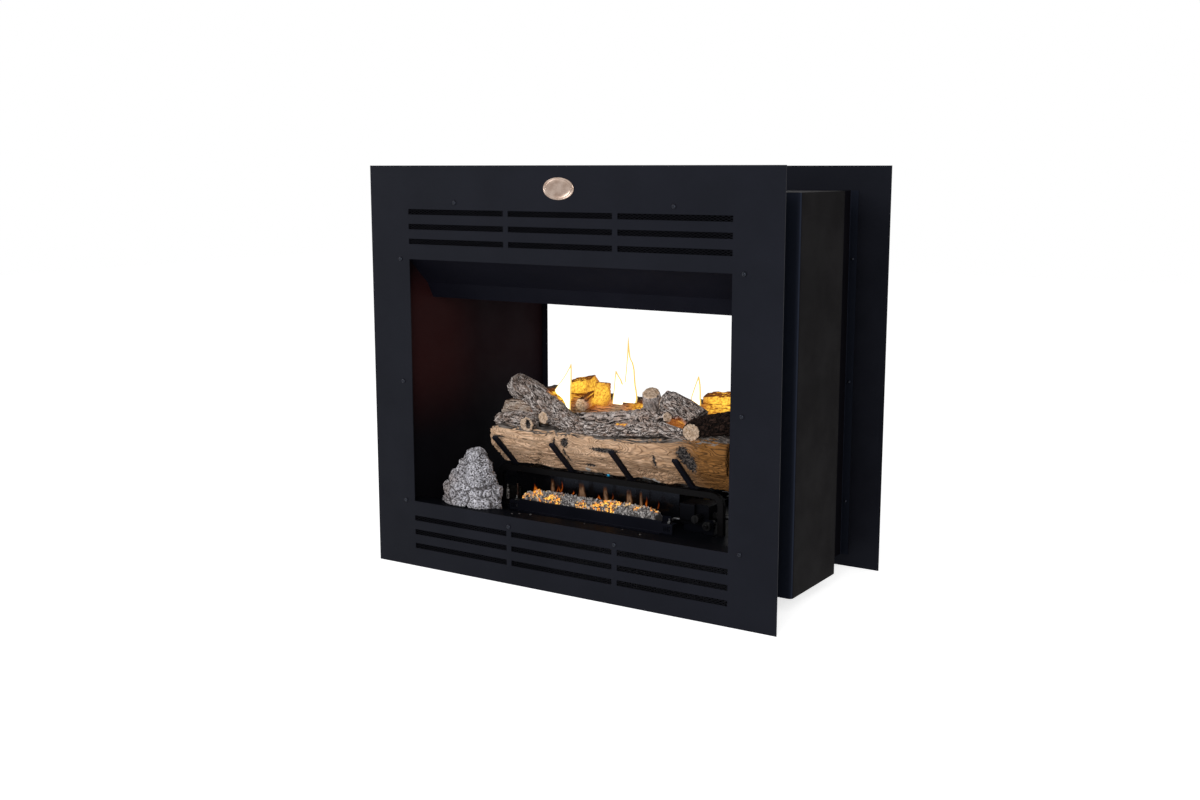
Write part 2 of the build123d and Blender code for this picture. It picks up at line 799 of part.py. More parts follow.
# ---- Pilot: tube along the hearth, bracket, burner, thermocouple and spark electrode ------------
pilot_x = burner_left - pilot_offset
pilot_tube_y = -burner_y - pilot_stand_off
pilot_run_z = floor_z + pilot_tube_radius + pilot_tube_lift
pilot_start_z = floor_z + pilot_start_rise
pilot_tube_top = floor_z + pilot_tube_rise
pilot_hood_z = floor_z + pilot_hood_rise
with BuildPart() as pilot_tube:
    with BuildLine(upright_plane(pilot_tube_y)):
        FilletPolyline(
            (valve_left, pilot_start_z),
            (valve_left - pilot_tube_lead, pilot_start_z),
            (valve_left - pilot_tube_lead - pilot_tube_fall, pilot_run_z),
            (pilot_x, pilot_run_z),
            (pilot_x, pilot_tube_top),
            radius=pilot_tube_bend,
        )
    with BuildSketch(Plane(origin=(valve_left, pilot_tube_y, pilot_start_z), z_dir=(-1, 0, 0))):
        RegularPolygon(pilot_tube_radius, side_count=tube_sides)
    sweep()
write_piece(pilot_tube, "pilot_tube")

with BuildPart() as pilot_burner:
    with BuildSketch(Plane.XY.offset(pilot_tube_top)):
        with Locations((pilot_x, pilot_tube_y)):
            Circle(pilot_hood_radius)
    extrude(amount=pilot_hood_z - pilot_tube_top)
    with BuildSketch(Plane.YZ.offset(pilot_x + pilot_hood_radius)):
        with Locations((pilot_tube_y, pilot_hood_z)):
            Circle(pilot_hood_radius)
    extrude(amount=-pilot_hood_length)
write_piece(pilot_burner, "pilot_burner")

pilot_plate_y = pilot_tube_y - pilot_hood_radius
with BuildPart() as pilot_bracket:
    with BuildSketch(Plane.YZ.offset(pilot_x)):
        with BuildLine():
            FilletPolyline(
                (pilot_plate_y - body_sheet - pilot_foot, floor_z),
                (pilot_plate_y, floor_z),
                (pilot_plate_y, floor_z + pilot_plate_height),
                radius=bend_radius,
            )
            offset(amount=body_sheet, side=Side.LEFT)
        make_face()
    extrude(amount=pilot_plate_half, both=True)
write_piece(pilot_bracket, "pilot_bracket")

probe_y = pilot_plate_y - body_sheet - probe_radius
probe_base = floor_z + probe_rise
for name, side, tip_radius, shoulder, tip in (
    ("thermocouple", 1, thermocouple_radius, thermocouple_shoulder, thermocouple_length),
    ("spark_electrode", -1, electrode_radius, electrode_shoulder, electrode_length),
):
    x = pilot_x + side * probe_spacing / 2
    with BuildPart() as probe:
        with BuildSketch(Plane.XY.offset(probe_base)):
            with Locations((x, probe_y)):
                Circle(probe_radius)
        extrude(amount=shoulder)
        with BuildSketch(Plane.XY.offset(probe_base + shoulder)):
            with Locations((x, probe_y)):
                Circle(tip_radius)
        extrude(amount=tip - shoulder)
    write_piece(probe, name)

# ---- Gas valve: cast body on a channel, pressed cover, spindle with a flat, push-and-turn knob ----
valve_mid_x = valve_left + valve_width / 2
boss_face = valve_face_y - boss_length
knob_back = boss_face - knob_gap
spindle_tip = knob_back - spindle_reach
bore_depth = boss_length + spindle_bore
spindle_root = boss_face + bore_depth - part_clearance

valve_fold = bent_sheet(
    Plane.YZ.offset(valve_mid_x),
    [
        (valve_face_y + valve_bracket_inset, floor_z),
        (valve_face_y + valve_bracket_inset, valve_z),
        (valve_back_y - valve_bracket_inset, valve_z),
        (valve_back_y - valve_bracket_inset, floor_z),
    ],
    body_sheet,
    Side.RIGHT,
    valve_width / 2 - valve_bracket_end_inset,
)
write_piece(valve_fold, "valve_bracket")

with BuildPart() as valve_body:
    with BuildSketch(upright_plane(valve_face_y)):
        with Locations((valve_mid_x, valve_z + valve_height / 2)):
            RectangleRounded(valve_width, valve_height, valve_corner)
    extrude(amount=-valve_depth)
    with BuildSketch(upright_plane(valve_face_y)):
        with Locations((spindle_x, spindle_z)):
            Circle(boss_radius)
    extrude(amount=boss_length)
    with BuildSketch(upright_plane(boss_face)):
        with Locations((spindle_x, spindle_z)):
            Circle(spindle_radius + fit_clearance)
    extrude(amount=-bore_depth, mode=Mode.SUBTRACT)
write_piece(valve_body, "valve_body")

cover_mid_x = valve_left + cover_inset + cover_width / 2
with BuildPart() as valve_cover:
    with BuildSketch(upright_plane(valve_face_y)):
        with Locations((cover_mid_x, valve_z + valve_height - cover_height / 2)):
            Rectangle(cover_width, cover_height)
    extrude(amount=cover_depth)
    fillet(edges().group_by(Axis.Y)[0], cover_edge)
write_piece(valve_cover, "valve_cover")

with BuildPart() as valve_spindle:
    with BuildSketch(upright_plane(spindle_tip)):
        with Locations((spindle_x, spindle_z)):
            Circle(spindle_radius)
    extrude(amount=spindle_tip - spindle_root)
    with BuildSketch(upright_plane(spindle_tip)):
        with Locations((spindle_x, spindle_z + 2 * spindle_radius - spindle_flat)):
            Rectangle(2 * spindle_radius, 2 * spindle_radius)
    extrude(amount=spindle_tip - boss_face, mode=Mode.SUBTRACT)
write_piece(valve_spindle, "valve_spindle")

knob_bore_depth = knob_back - spindle_tip + knob_travel + 2 * part_clearance
with BuildPart() as control_knob:
    with BuildSketch(upright_plane(knob_back)):
        with Locations((spindle_x, spindle_z)):
            Circle(knob_radius)
    extrude(amount=knob_length)
    chamfer(edges().group_by(Axis.Y)[0], knob_edge)
    with BuildSketch(upright_plane(knob_back - knob_length)):
        with Locations((spindle_x, spindle_z)):
            Rectangle(knob_grip_width, knob_grip_length)
    extrude(amount=knob_grip_height)
    with BuildSketch(upright_plane(knob_back)):
        with Locations((spindle_x, spindle_z)):
            Circle(spindle_radius + fit_clearance)
        with Locations((spindle_x, spindle_z + 2 * spindle_radius - spindle_flat + fit_clearance)):
            Rectangle(2 * spindle_radius, 2 * spindle_radius, mode=Mode.SUBTRACT)
    extrude(amount=knob_bore_depth, mode=Mode.SUBTRACT)
write_piece(control_knob, "control_knob")

# ---- Piezo igniter: barrel through an upright bracket, spring-returned button -------------------
igniter_front_y = valve_face_y - igniter_stand_off
igniter_plate_y = igniter_front_y + igniter_plate_setback
bezel_radius = igniter_radius + bezel_margin
button_root = igniter_front_y + button_length - button_travel - button_margin
with BuildPart() as igniter_bracket:
    with BuildSketch(Plane.YZ.offset(igniter_x)):
        with BuildLine():
            FilletPolyline(
                (igniter_plate_y + igniter_foot, floor_z),
                (igniter_plate_y, floor_z),
                (igniter_plate_y, igniter_z + bezel_radius + body_sheet),
                radius=bend_radius,
            )
            offset(amount=body_sheet, side=Side.RIGHT)
        make_face()
    extrude(amount=igniter_plate_half, both=True)
    with BuildSketch(upright_plane(igniter_plate_y + body_sheet)):
        with Locations((igniter_x, igniter_z)):
            Circle(igniter_radius + fit_clearance)
    extrude(amount=2 * body_sheet, mode=Mode.SUBTRACT)
write_piece(igniter_bracket, "igniter_bracket")

with BuildPart() as igniter_body:
    with BuildSketch(upright_plane(igniter_front_y + igniter_length)):
        with Locations((igniter_x, igniter_z)):
            Circle(igniter_radius)
    extrude(amount=igniter_length)
    with BuildSketch(upright_plane(igniter_front_y + bezel_depth)):
        with Locations((igniter_x, igniter_z)):
            Circle(bezel_radius)
    extrude(amount=bezel_depth)
    with BuildSketch(upright_plane(igniter_front_y)):
        with Locations((igniter_x, igniter_z)):
            Circle(button_radius + fit_clearance)
    extrude(amount=-(button_length + part_clearance), mode=Mode.SUBTRACT)
write_piece(igniter_body, "igniter_body")

with BuildPart() as igniter_button:
    with BuildSketch(upright_plane(button_root)):
        with Locations((igniter_x, igniter_z)):
            Circle(button_radius)
    extrude(amount=button_length)
    chamfer(edges().group_by(Axis.Y)[0], button_edge)
write_piece(igniter_button, "igniter_button")

# ---- Gas supply: bent pipe to a threaded inlet through the right-hand wall ----------------------
gas_pipe_y = valve_face_y + valve_depth / 2
inlet_start = wall_face - inlet_hex_length
gas_pipe_x = (half_span + rail_right_overhang + inlet_start) / 2  # midway from the grate to the fitting
with BuildPart() as gas_supply_tube:
    with BuildLine(Plane.XY.offset(gas_pipe_z)):
        FilletPolyline(
            (valve_right, gas_pipe_y),
            (gas_pipe_x, gas_pipe_y),
            (gas_pipe_x, gas_inlet_y),
            (inlet_start, gas_inlet_y),
            radius=gas_pipe_bend,
        )
    with BuildSketch(Plane(origin=(valve_right, gas_pipe_y, gas_pipe_z), z_dir=(1, 0, 0))):
        RegularPolygon(gas_pipe_radius, side_count=tube_sides)
    sweep()
write_piece(gas_supply_tube, "gas_supply_tube")

with BuildPart() as gas_inlet_fitting:
    with BuildSketch(Plane.YZ.offset(inlet_start)):
        with Locations((gas_inlet_y, gas_pipe_z)):
            RegularPolygon(inlet_radius + inlet_hex_margin, side_count=6, major_radius=False)
    extrude(amount=inlet_hex_length)
    with BuildSketch(Plane.YZ.offset(wall_face)):
        with Locations((gas_inlet_y, gas_pipe_z)):
            Circle(inlet_radius)
    extrude(amount=inlet_length - inlet_hex_length)
    with BuildSketch(Plane.YZ.offset(inlet_start + inlet_length)):
        with Locations((gas_inlet_y, gas_pipe_z)):
            Circle(inlet_bore)
    extrude(amount=-inlet_thread_depth, mode=Mode.SUBTRACT)
write_piece(gas_inlet_fitting, "gas_inlet_fitting")

# ---- Face logs: long split logs that lie in the fingers, one at each face -----------------------
finger_slope = finger_rise / finger_reach
finger_corner = finger_sheet * tan(atan2(finger_rise, finger_reach) / 2)
log_toe = rail_y - finger_corner - part_clearance  # inner corner of the fingers, from the middle
log_base = rail_top + finger_sheet + part_clearance
front_log_top = log_base + front_log_height
rear_log_top = log_base + rear_log_height
# Outline of a face log, face to underside, as (outward from the toe, share of the log's height).
log_outline = (
    (64, 0.76),
    (61, 0.93),
    (49, 1.00),
    (-20, 1.00),
    (-47, 0.77),
    (-56, 0.33),
    (-46, 0.00),
)


def face_log(end, log_height, stations):
    """Log lofted through (share of length, thickness, rise) stations; end is -1 at the front."""
    with BuildPart() as log:
        for along, thickness, rise in stations:
            cheek = thickness * log_cheek
            corners = [(0, 0), (cheek, cheek * finger_slope)]
            corners += [(thickness * out, rise * log_height * up) for out, up in log_outline]
            with BuildSketch(Plane.YZ.offset(end * (log_short_end - along * log_length))):
                Polygon(*[(end * (log_toe + out), log_base + up) for out, up in corners], align=None)
        loft(ruled=True)
    return log


front_log = face_log(
    -1,
    front_log_height,
    (
        (0.00, 0.86, 0.93),
        (0.04, 0.97, 1.00),
        (0.21, 1.00, 0.98),
        (0.41, 0.99, 1.00),
        (0.61, 1.00, 1.03),
        (0.79, 0.98, 1.14),
        (0.94, 1.00, 1.25),
        (1.00, 0.93, 1.18),
    ),
)
rear_log = face_log(
    1,
    rear_log_height,
    (
        (0.00, 0.86, 0.98),
        (0.04, 0.97, 1.07),
        (0.19, 1.00, 1.05),
        (0.38, 0.99, 0.97),
        (0.57, 1.00, 0.95),
        (0.77, 0.98, 1.00),
        (0.94, 1.00, 1.02),
        (1.00, 0.93, 0.92),
    ),
)
write_piece(front_log, "front_log")
write_piece(rear_log, "rear_log")


# ---- Top logs: branches and split pieces, each keyed to what it lies on -------------------------
def limb(end, log_top, stations, sides=8):
    """Round wood lofted through (x, inward, rise, radius) stations, cut square to its own run.

    Stations are in hundredths of a face log's length. Inward is measured from the toe of the face
    log at that end, and rise from that log's top.
    """
    part = log_length / 100
    middles = [
        Vector(part * x, end * (log_toe - part * inward), log_top + part * rise)
        for x, inward, rise, radius in stations
    ]
    with BuildPart() as wood:
        for number, station in enumerate(stations):
            before = middles[max(number - 1, 0)]
            after = middles[min(number + 1, len(stations) - 1)]
            run = (after - before).normalized()
            level = Vector(0, 0, 1).cross(run)
            if level.length < nearly_upright:
                level = Vector(0, 1, 0).cross(run)
            with BuildSketch(Plane(origin=middles[number], x_dir=level, z_dir=run)):
                RegularPolygon(radius=part * station[3], side_count=sides)
        loft(ruled=True)
    return wood


def front_limb(*stations, sides=8):
    """Limb placed from the front log."""
    return limb(-1, front_log_top, stations, sides)


def back_limb(*stations, sides=5):
    """Split piece placed from the rear log."""
    return limb(1, rear_log_top, stations, sides)


def top_log(name, limbs, touching):
    """Fuse the limbs of a log, key it to the logs that it touches and write it."""
    with BuildPart() as log:
        for wood in limbs:
            add(wood.part)
        for seat in touching:
            for shift in (part_clearance, 0, -part_clearance):
                add(seat.part.moved(Location((0, 0, shift))), mode=Mode.SUBTRACT)
    write_piece(log, name)
    return log


nearly_upright = 0.3  # sideways share of a limb's run below which it counts as upright
left_bark_log = top_log(
    "left_bark_log",
    [
        front_limb((-43.5, -4.3, 0.8, 2.5), (-35.4, -4.7, 1.8, 3.2), (-26.2, -5.3, 2.0, 3.3)),
        front_limb((-27.2, -4.3, 2.0, 2.8), (-26.6, -10.0, 1.5, 2.8)),
    ],
    [front_log],
)
leaning_branch = top_log(
    "leaning_branch",
    [
        front_limb(
            (-44.5, 8.6, 13.1, 4.5),
            (-38.4, 7.0, 10.6, 5.5),
            (-29.6, 3.7, 7.6, 5.5),
            (-20.1, -0.3, 4.8, 4.8),
            (-11.8, -4.0, 2.8, 3.5),
            (-4.0, -6.3, 1.8, 2.7),
            (7.6, -7.3, 2.3, 2.3),
            (19.6, -7.3, 3.7, 2.5),
            (30.1, -7.3, 4.8, 2.5),
            (38.0, -7.1, 3.8, 2.0),
            (44.0, -7.0, 3.0, 1.5),
        ),
        front_limb((-20.4, 0, 4.5, 2.5), (-21.1, -7.3, 4.0, 2.3)),
    ],
    [front_log, left_bark_log],
)
left_split_piece = top_log(
    "left_split_piece",
    [
        front_limb(
            (-43.5, 2.3, 3.8, 4.5),
            (-37.2, 2.0, 4.2, 5.1),
            (-30.4, 1.7, 4.2, 4.7),
            sides=6,
        )
    ],
    [front_log, left_bark_log, leaning_branch],
)
forked_branch = top_log(
    "forked_branch",
    [
        front_limb(
            (-13.8, 3.3, 3.7, 1.5),
            (-1.7, 2.7, 4.3, 2.2),
            (11.1, 1.7, 5.5, 3.0),
            (18.9, 0.7, 5.5, 5.1),
            (24.3, 0, 5.6, 3.2),
        ),
        front_limb((19.6, 4.3, 7.6, 4.0), (21.4, -0.7, 16.4, 3.2)),
        front_limb((22.9, 0.3, 7.0, 2.3), (30.2, -4.0, 8.8, 1.8)),
    ],
    [front_log, leaning_branch],
)
right_stub_log = top_log(
    "right_stub_log",
    [
        front_limb(
            (40.5, -6.6, 5.3, 3.5),
            (44.9, -2.0, 6.1, 4.5),
            (49.8, 3.3, 6.8, 4.7),
            (54.8, 8.3, 6.8, 4.2),
        )
    ],
    [front_log, leaning_branch],
)
right_top_log = top_log(
    "right_top_log",
    [
        front_limb(
            (24.4, 3.3, 13.0, 3.7),
            (27.4, 3.3, 12.3, 4.5),
            (33.2, 3.0, 10.1, 4.7),
            (39.9, 2.3, 7.8, 4.3),
        )
    ],
    [front_log, forked_branch, right_stub_log],
)
back_split_pieces = top_log(
    "back_split_pieces",
    [
        back_limb((-37.9, 0, 1.3, 3.3), (-24.9, 0, 3.7, 4.0)),
        back_limb((-18.9, 4.0, 5.6, 3.3), (-18.6, 5.6, -2.7, 3.7)),
        back_limb((-22.3, 14.0, -2.3, 2.7), (-22.8, 4.3, -0.5, 3.0), sides=7),
        back_limb((24.9, 0, 1.3, 3.7), (40.7, 0.3, 2.7, 4.2)),
    ],
    [rear_log],
)

# ---- Rock: cast stone of stacked slabs, one foot on the sill and one on the hearth floor --------
# Each slab as (height of its top, spread at its foot, spread at its top), in shares of the rock.
rock_slabs = (
    (0.20, 1.00, 1.00),
    (0.43, 0.95, 0.92),
    (0.65, 0.84, 0.79),
    (0.85, 0.67, 0.60),
    (1.00, 0.49, 0.34),
)
rock_y = -(panel_back - rock_setback - rock_depth / 2)
rock_heel_y = -(panel_back - sill_depth - bend_radius - part_clearance)
with BuildPart() as rock:
    foot = 0.0
    for number, (top, foot_spread, top_spread) in enumerate(rock_slabs):
        for rise, spread in ((foot, foot_spread), (top, top_spread)):
            outline = []
            for corner in range(rock_sides):
                turn = 2 * pi * corner / rock_sides
                step = (3 * corner + number) % rock_wobble_steps
                reach = spread * (1 - rock_wobble * step / (rock_wobble_steps - 1))
                across = rock_lean * rise + reach * rock_width / 2 * cos(turn)
                outline.append((across, reach * rock_depth / 2 * sin(turn)))
            with BuildSketch(Plane(origin=(rock_x, rock_y, floor_z + rise * rock_height))):
                Polygon(*outline, align=None)
        loft(ruled=True)
        foot = top
    with BuildSketch(Plane.XY.offset(floor_z)):
        with Locations((rock_x, rock_heel_y - depth / 2)):
            Rectangle(2 * rock_width, depth)
    extrude(amount=opening_sill - floor_z, mode=Mode.SUBTRACT)
write_piece(rock, "rock")
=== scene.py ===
"""Studio picture of a see-through gas fireplace insert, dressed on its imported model.

Metres, +Z up. X runs across the front, Y from front to rear, and the origin is on the floor, midway
between the two face panels. Each section makes one piece, or one group of like pieces.
"""

import random
from math import cos, pi, radians, sin

import bmesh
import bpy
import numpy as np
from mathutils import Euler, Matrix, Vector


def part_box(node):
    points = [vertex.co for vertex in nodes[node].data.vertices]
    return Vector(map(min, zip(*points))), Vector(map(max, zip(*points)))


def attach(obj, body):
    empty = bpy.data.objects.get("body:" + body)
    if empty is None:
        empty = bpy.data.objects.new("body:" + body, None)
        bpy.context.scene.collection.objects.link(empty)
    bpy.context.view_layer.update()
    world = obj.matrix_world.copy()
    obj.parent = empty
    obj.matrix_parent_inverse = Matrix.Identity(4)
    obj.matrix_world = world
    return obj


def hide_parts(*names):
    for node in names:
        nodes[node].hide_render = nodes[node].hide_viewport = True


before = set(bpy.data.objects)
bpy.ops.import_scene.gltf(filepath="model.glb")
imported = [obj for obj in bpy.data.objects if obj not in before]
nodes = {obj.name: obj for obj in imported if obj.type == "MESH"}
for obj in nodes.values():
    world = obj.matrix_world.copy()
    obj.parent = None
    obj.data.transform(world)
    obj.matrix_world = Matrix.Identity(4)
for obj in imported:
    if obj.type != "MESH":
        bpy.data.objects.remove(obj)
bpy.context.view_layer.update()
scene = bpy.context.scene
scene.view_settings.view_transform = "Standard"


# ---- Camera ----
# Stands to the right of the insert, level with its top edge, and looks a little down, so that the
# front panel, the right-hand heat shield and the edge of the rear panel show.
def add_object(name, data):
    """New object in the scene."""
    made = bpy.data.objects.new(name, data)
    scene.collection.objects.link(made)
    return made


camera_yaw = radians(32.70)
camera_pitch = radians(9.49)
camera_data = bpy.data.cameras.new("camera")
camera_data.lens = 41.54
camera = add_object("camera", camera_data)
camera.location = (1.6135, -2.6227, 0.8984)
camera.rotation_euler = (pi / 2 - camera_pitch, 0, camera_yaw)
scene.camera = camera


# ---- Floor ----
# Seamless white paper that runs past the picture on all sides. The camera, and what mirrors it, see
# it as white, and it keeps the insert's shadow.
class Wire:
    """Output of a node. Each sum that it stands in adds the node that works the sum out."""

    def __init__(self, socket):
        self.socket = socket
        self.tree = socket.id_data

    def __getitem__(self, output):
        """Another output of the same node, by its name or number."""
        return Wire(self.socket.node.outputs[output])

    def reckon(self, operation, other=0.0):
        """Result of an operation on this output and another one, or a value."""
        return put(self.tree, "ShaderNodeMath", {0: self, 1: other}, operation=operation)

    def __add__(self, other):
        return self.reckon("ADD", other)

    def __sub__(self, other):
        return self.reckon("SUBTRACT", other)

    def __rsub__(self, other):
        return put(self.tree, "ShaderNodeMath", {0: other, 1: self}, operation="SUBTRACT")

    def __mul__(self, other):
        return self.reckon("MULTIPLY", other)

    def __abs__(self):
        return self.reckon("ABSOLUTE")


def fill(node, inputs):
    """Set a node's inputs, or link wires to them, by name or number."""
    for key, value in inputs.items():
        if isinstance(value, Wire):
            value.tree.links.new(value.socket, node.inputs[key])
        else:
            node.inputs[key].default_value = value


def put(tree, kind, inputs=None, **settings):
    """Add a node, and return its first output if it has one."""
    node = tree.nodes.new(kind)
    for key, value in settings.items():
        setattr(node, key, value)
    fill(node, inputs or {})
    return Wire(node.outputs[0]) if node.outputs else node


def new_material(name):
    """Empty material: returns it, its tree, its shader and its Object coordinates."""
    material = bpy.data.materials.new(name)
    material.use_nodes = True
    tree = material.node_tree
    place = put(tree, "ShaderNodeTexCoord")["Object"]
    return material, tree, tree.nodes["Principled BSDF"], place


def seen_directly(tree):
    """1 for rays from the camera, a mirror or a glass, 0 for light that falls on the insert."""
    rays = put(tree, "ShaderNodeLightPath")
    mirrored = rays["Is Camera Ray"].reckon("MAXIMUM", rays["Is Glossy Ray"])
    return mirrored.reckon("MAXIMUM", rays["Is Transmission Ray"])


paper_half = 9.0
paper_white = 0.80
paper_own_light = 0.72
floor_mesh = bpy.data.meshes.new("paper_floor")
corners = [(x * paper_half, y * paper_half, 0) for x, y in ((-1, -1), (1, -1), (1, 1), (-1, 1))]
floor_mesh.from_pydata(corners, [], [(0, 1, 2, 3)])
floor = add_object("paper_floor", floor_mesh)
paper, tree, shader, place = new_material("white_paper")
fill(shader, {"Base Color": (*[paper_white] * 3, 1), "Roughness": 0.9, "Specular IOR Level": 0.0})
own_light = seen_directly(tree) * paper_own_light
glow = put(tree, "ShaderNodeEmission", {"Color": (1, 1, 1, 1), "Strength": own_light})
together = put(tree, "ShaderNodeAddShader", {0: Wire(shader.outputs[0]), 1: glow})
fill(tree.nodes["Material Output"], {"Surface": together})
floor_mesh.materials.append(paper)


# ---- Light ----
# A white room lights the insert evenly, and three soft boxes, in front and on either side, give its
# sheet edges their highlights.
def scaled(factor, low, high):
    """Value that runs from low to high with factor."""
    return put(factor.tree, "ShaderNodeMapRange", {"Value": factor, "To Min": low, "To Max": high})


room_light = 0.42
world = bpy.data.worlds.new("white_room")
scene.world = world
world.use_nodes = True
tree = world.node_tree
strength = scaled(seen_directly(tree), room_light, 1.0)
fill(tree.nodes["Background"], {"Color": (1, 1, 1, 1), "Strength": strength})

log_height = 0.3
for name, spot, size, power in (
    ("front_soft_box", (1.1, -3.4, 1.5), 1.6, 60.0),
    ("left_soft_box", (-2.6, -2.2, 1.9), 1.4, 22.0),
    ("right_soft_box", (3.2, 0.4, 1.8), 1.4, 13.0),
):
    lamp_data = bpy.data.lights.new(name, "AREA")
    lamp_data.shape = "DISK"
    lamp_data.size = size
    lamp_data.energy = power
    lamp = add_object(name, lamp_data)
    lamp.location = spot
    aim = Vector((0, 0, log_height)) - Vector(spot)
    lamp.rotation_euler = aim.to_track_quat("-Z", "Y").to_euler()


# ---- Firebox: side walls, base pan, top panel, ceiling, canopies ----
# Folded 1.5 mm steel sheet in flat black high-temperature paint. A reddish glow of the fire is
# painted on the walls beside it, and their bends and front faces are painted paler as highlights.
def times(share, values):
    """Colour or place with each part multiplied by share."""
    return tuple(share * part for part in values)


def shaded(factor, low, high):
    """Colour that runs from low to high with factor."""
    low, high = (end if isinstance(end, Wire) else (*end, 1) for end in (low, high))
    return put(factor.tree, "ShaderNodeMix", {0: factor, 6: low, 7: high}, data_type="RGBA")[2]


def between(value, low, high, top=1.0, step="SMOOTHSTEP"):
    """0 at low and top at high, with a soft step unless it is LINEAR."""
    ends = {"Value": value, "From Min": low, "From Max": high, "To Max": top}
    return put(value.tree, "ShaderNodeMapRange", ends, interpolation_type=step)


def cloud(place, scale, detail, **more):
    """Plain noise, mostly from 0.3 to 0.7."""
    inputs = {"Vector": place, "Scale": scale, "Detail": detail, **more}
    return put(place.tree, "ShaderNodeTexNoise", inputs)


def noise(place, scale, detail=3.0, low=0.35, high=0.65, **more):
    """Noise with its middle values stretched over 0 to 1."""
    return between(cloud(place, scale, detail, **more), low, high, step="LINEAR")


def part_of(vector, axis):
    """A vector's part along one axis."""
    return put(vector.tree, "ShaderNodeSeparateXYZ", {0: vector})[axis]


def facing(tree, axis):
    """How far the surface faces along an axis, from -1 to 1."""
    return part_of(put(tree, "ShaderNodeNewGeometry")["Normal"], axis)


def emboss(shader, height, strength, distance):
    """Give a shader fine relief."""
    inputs = {"Strength": strength, "Distance": distance, "Height": height}
    fill(shader, {"Normal": put(height.tree, "ShaderNodeBump", inputs)})


def painted_steel(
    name, colour, roughness, gloss, grain_depth=0.00012, front_highlight=None, painted_fire_glow=False
):
    """Sprayed paint on sheet steel: fine orange peel, cloudy sheen, a few dust specks.

    The front colour paints a bluish highlight on bends and on faces that look towards the front.
    """
    material, tree, shader, place = new_material(name)
    tone = shaded(noise(place, 7.0), times(0.7, colour), colour)
    # Painted firelight: a reddish glow of the fire on the walls' inner faces, in a band beside it.
    if painted_fire_glow:
        inside = between(facing(tree, "X") * part_of(place, "X"), -0.05, -0.25)
        rise = part_of(place, "Z")
        band = between(rise, 0.27, 0.47) * between(rise, 0.72, 0.60)
        patch = band * scaled(between(part_of(place, "Y"), 0.02, -0.14), 0.35, 1.0)
        tone = shaded(patch * inside, tone, (0.027, 0.0075, 0.0075))
    # Painted highlights: bends and faces that look towards the front are lightened, bluish.
    if front_highlight:
        forward = facing(tree, "Y")
        tone = shaded(between(forward, -0.25, -0.80), tone, front_highlight)
        bend = between(abs(forward + 0.55), 0.30, 0.05)
        tone = shaded(bend, tone, times(1.8, front_highlight))
    tone = shaded(noise(place, 420.0, low=0.72, high=0.80), tone, (0.030, 0.030, 0.036))
    sheen = scaled(noise(place, 16.0), roughness - 0.05, roughness + 0.06)
    # The reflections are tinted blue: a painted stand-in for bluish light around the insert.
    bluish_reflection_tint = (0.68, 0.76, 1.0, 1)
    fill(shader, {"Base Color": tone, "Roughness": sheen})
    fill(shader, {"Specular IOR Level": gloss, "Specular Tint": bluish_reflection_tint})
    emboss(shader, cloud(place, 900.0, 2.0), 0.5, grain_depth)
    return material


def finish(material, *names):
    """Give CAD nodes their finish."""
    for name in names:
        for slot in nodes[name].material_slots:
            slot.material = material


wall_black, wall_highlight = (0.0046, 0.0041, 0.0058), (0.010, 0.012, 0.019)
wall_paint = painted_steel(
    "wall_black_paint", wall_black, 0.64, 0.03, front_highlight=wall_highlight, painted_fire_glow=True
)
# The ceiling and the divider take a darker copy of the same black paint, as painted shade.
casing_shade_paint = painted_steel("casing_shade_black_paint", (0.0026, 0.0027, 0.0040), 0.55, 0.05)
outer_paint = painted_steel("outer_black_paint", (0.0080, 0.0080, 0.0096), 0.55, 0.05)
canopy_paint = painted_steel("canopy_black_paint", (0.0050, 0.0050, 0.0086), 0.55, 0.05)
finish(wall_paint, "left_side_wall", "right_side_wall")
finish(casing_shade_paint, "firebox_ceiling", "top_divider")
finish(outer_paint, "bottom_pan", "top_panel")
finish(canopy_paint, "front_canopy", "rear_canopy")

# ---- Heat shields ----
# Thin steel channels with wide bends that stand off the side walls. Their satin paint is painted
# paler along each bend and on the faces towards the front, as bluish highlights.
shield_black, shield_highlight = (0.0085, 0.0076, 0.0080), (0.014, 0.017, 0.027)
shield_paint = painted_steel("shield_black_paint", shield_black, 0.52, 0.012, 0.0002, shield_highlight)
finish(shield_paint, "left_heat_shield", "right_heat_shield")

# ---- Hearth floor ----
# One folded sheet in semi-gloss black, with a raised sill behind each face panel. It lies on the
# base pan and carries the grate, the burner and the rock.
hearth_paint = painted_steel("hearth_black_paint", (0.0026, 0.0029, 0.0045), 0.48, 0.028)
finish(hearth_paint, "hearth_floor")

# ---- Face panels ----
# Two laser-cut 2 mm sheets with louvre slots over and under the opening, in satin black paint with
# a fine grain. They are screwed to the casing's flanges.
panel_paint = painted_steel("panel_black_paint", (0.0056, 0.0058, 0.0086), 0.50, 0.115, 0.00018)
finish(panel_paint, "front_fascia", "rear_fascia")


# ---- Expanded mesh behind the louvres ----
# Black expanded steel, slit and stretched into small diamonds, one sheet behind each block of
# slots. The diamonds are 12 mm long and 5.2 mm high, and each strand is a strip 1.1 mm wide.
def shape_tree(name, sizes):
    """New Geometry Nodes tree with named inputs for a mesh, for sizes and for its finish."""
    tree = bpy.data.node_groups.new(name, "GeometryNodeTree")
    for label, kind in {"Geometry": "Geometry", **sizes, "Finish": "Material"}.items():
        tree.interface.new_socket(label, in_out="INPUT", socket_type="NodeSocket" + kind)
    tree.interface.new_socket("Geometry", in_out="OUTPUT", socket_type="NodeSocketGeometry")
    return tree, put(tree, "NodeGroupInput")


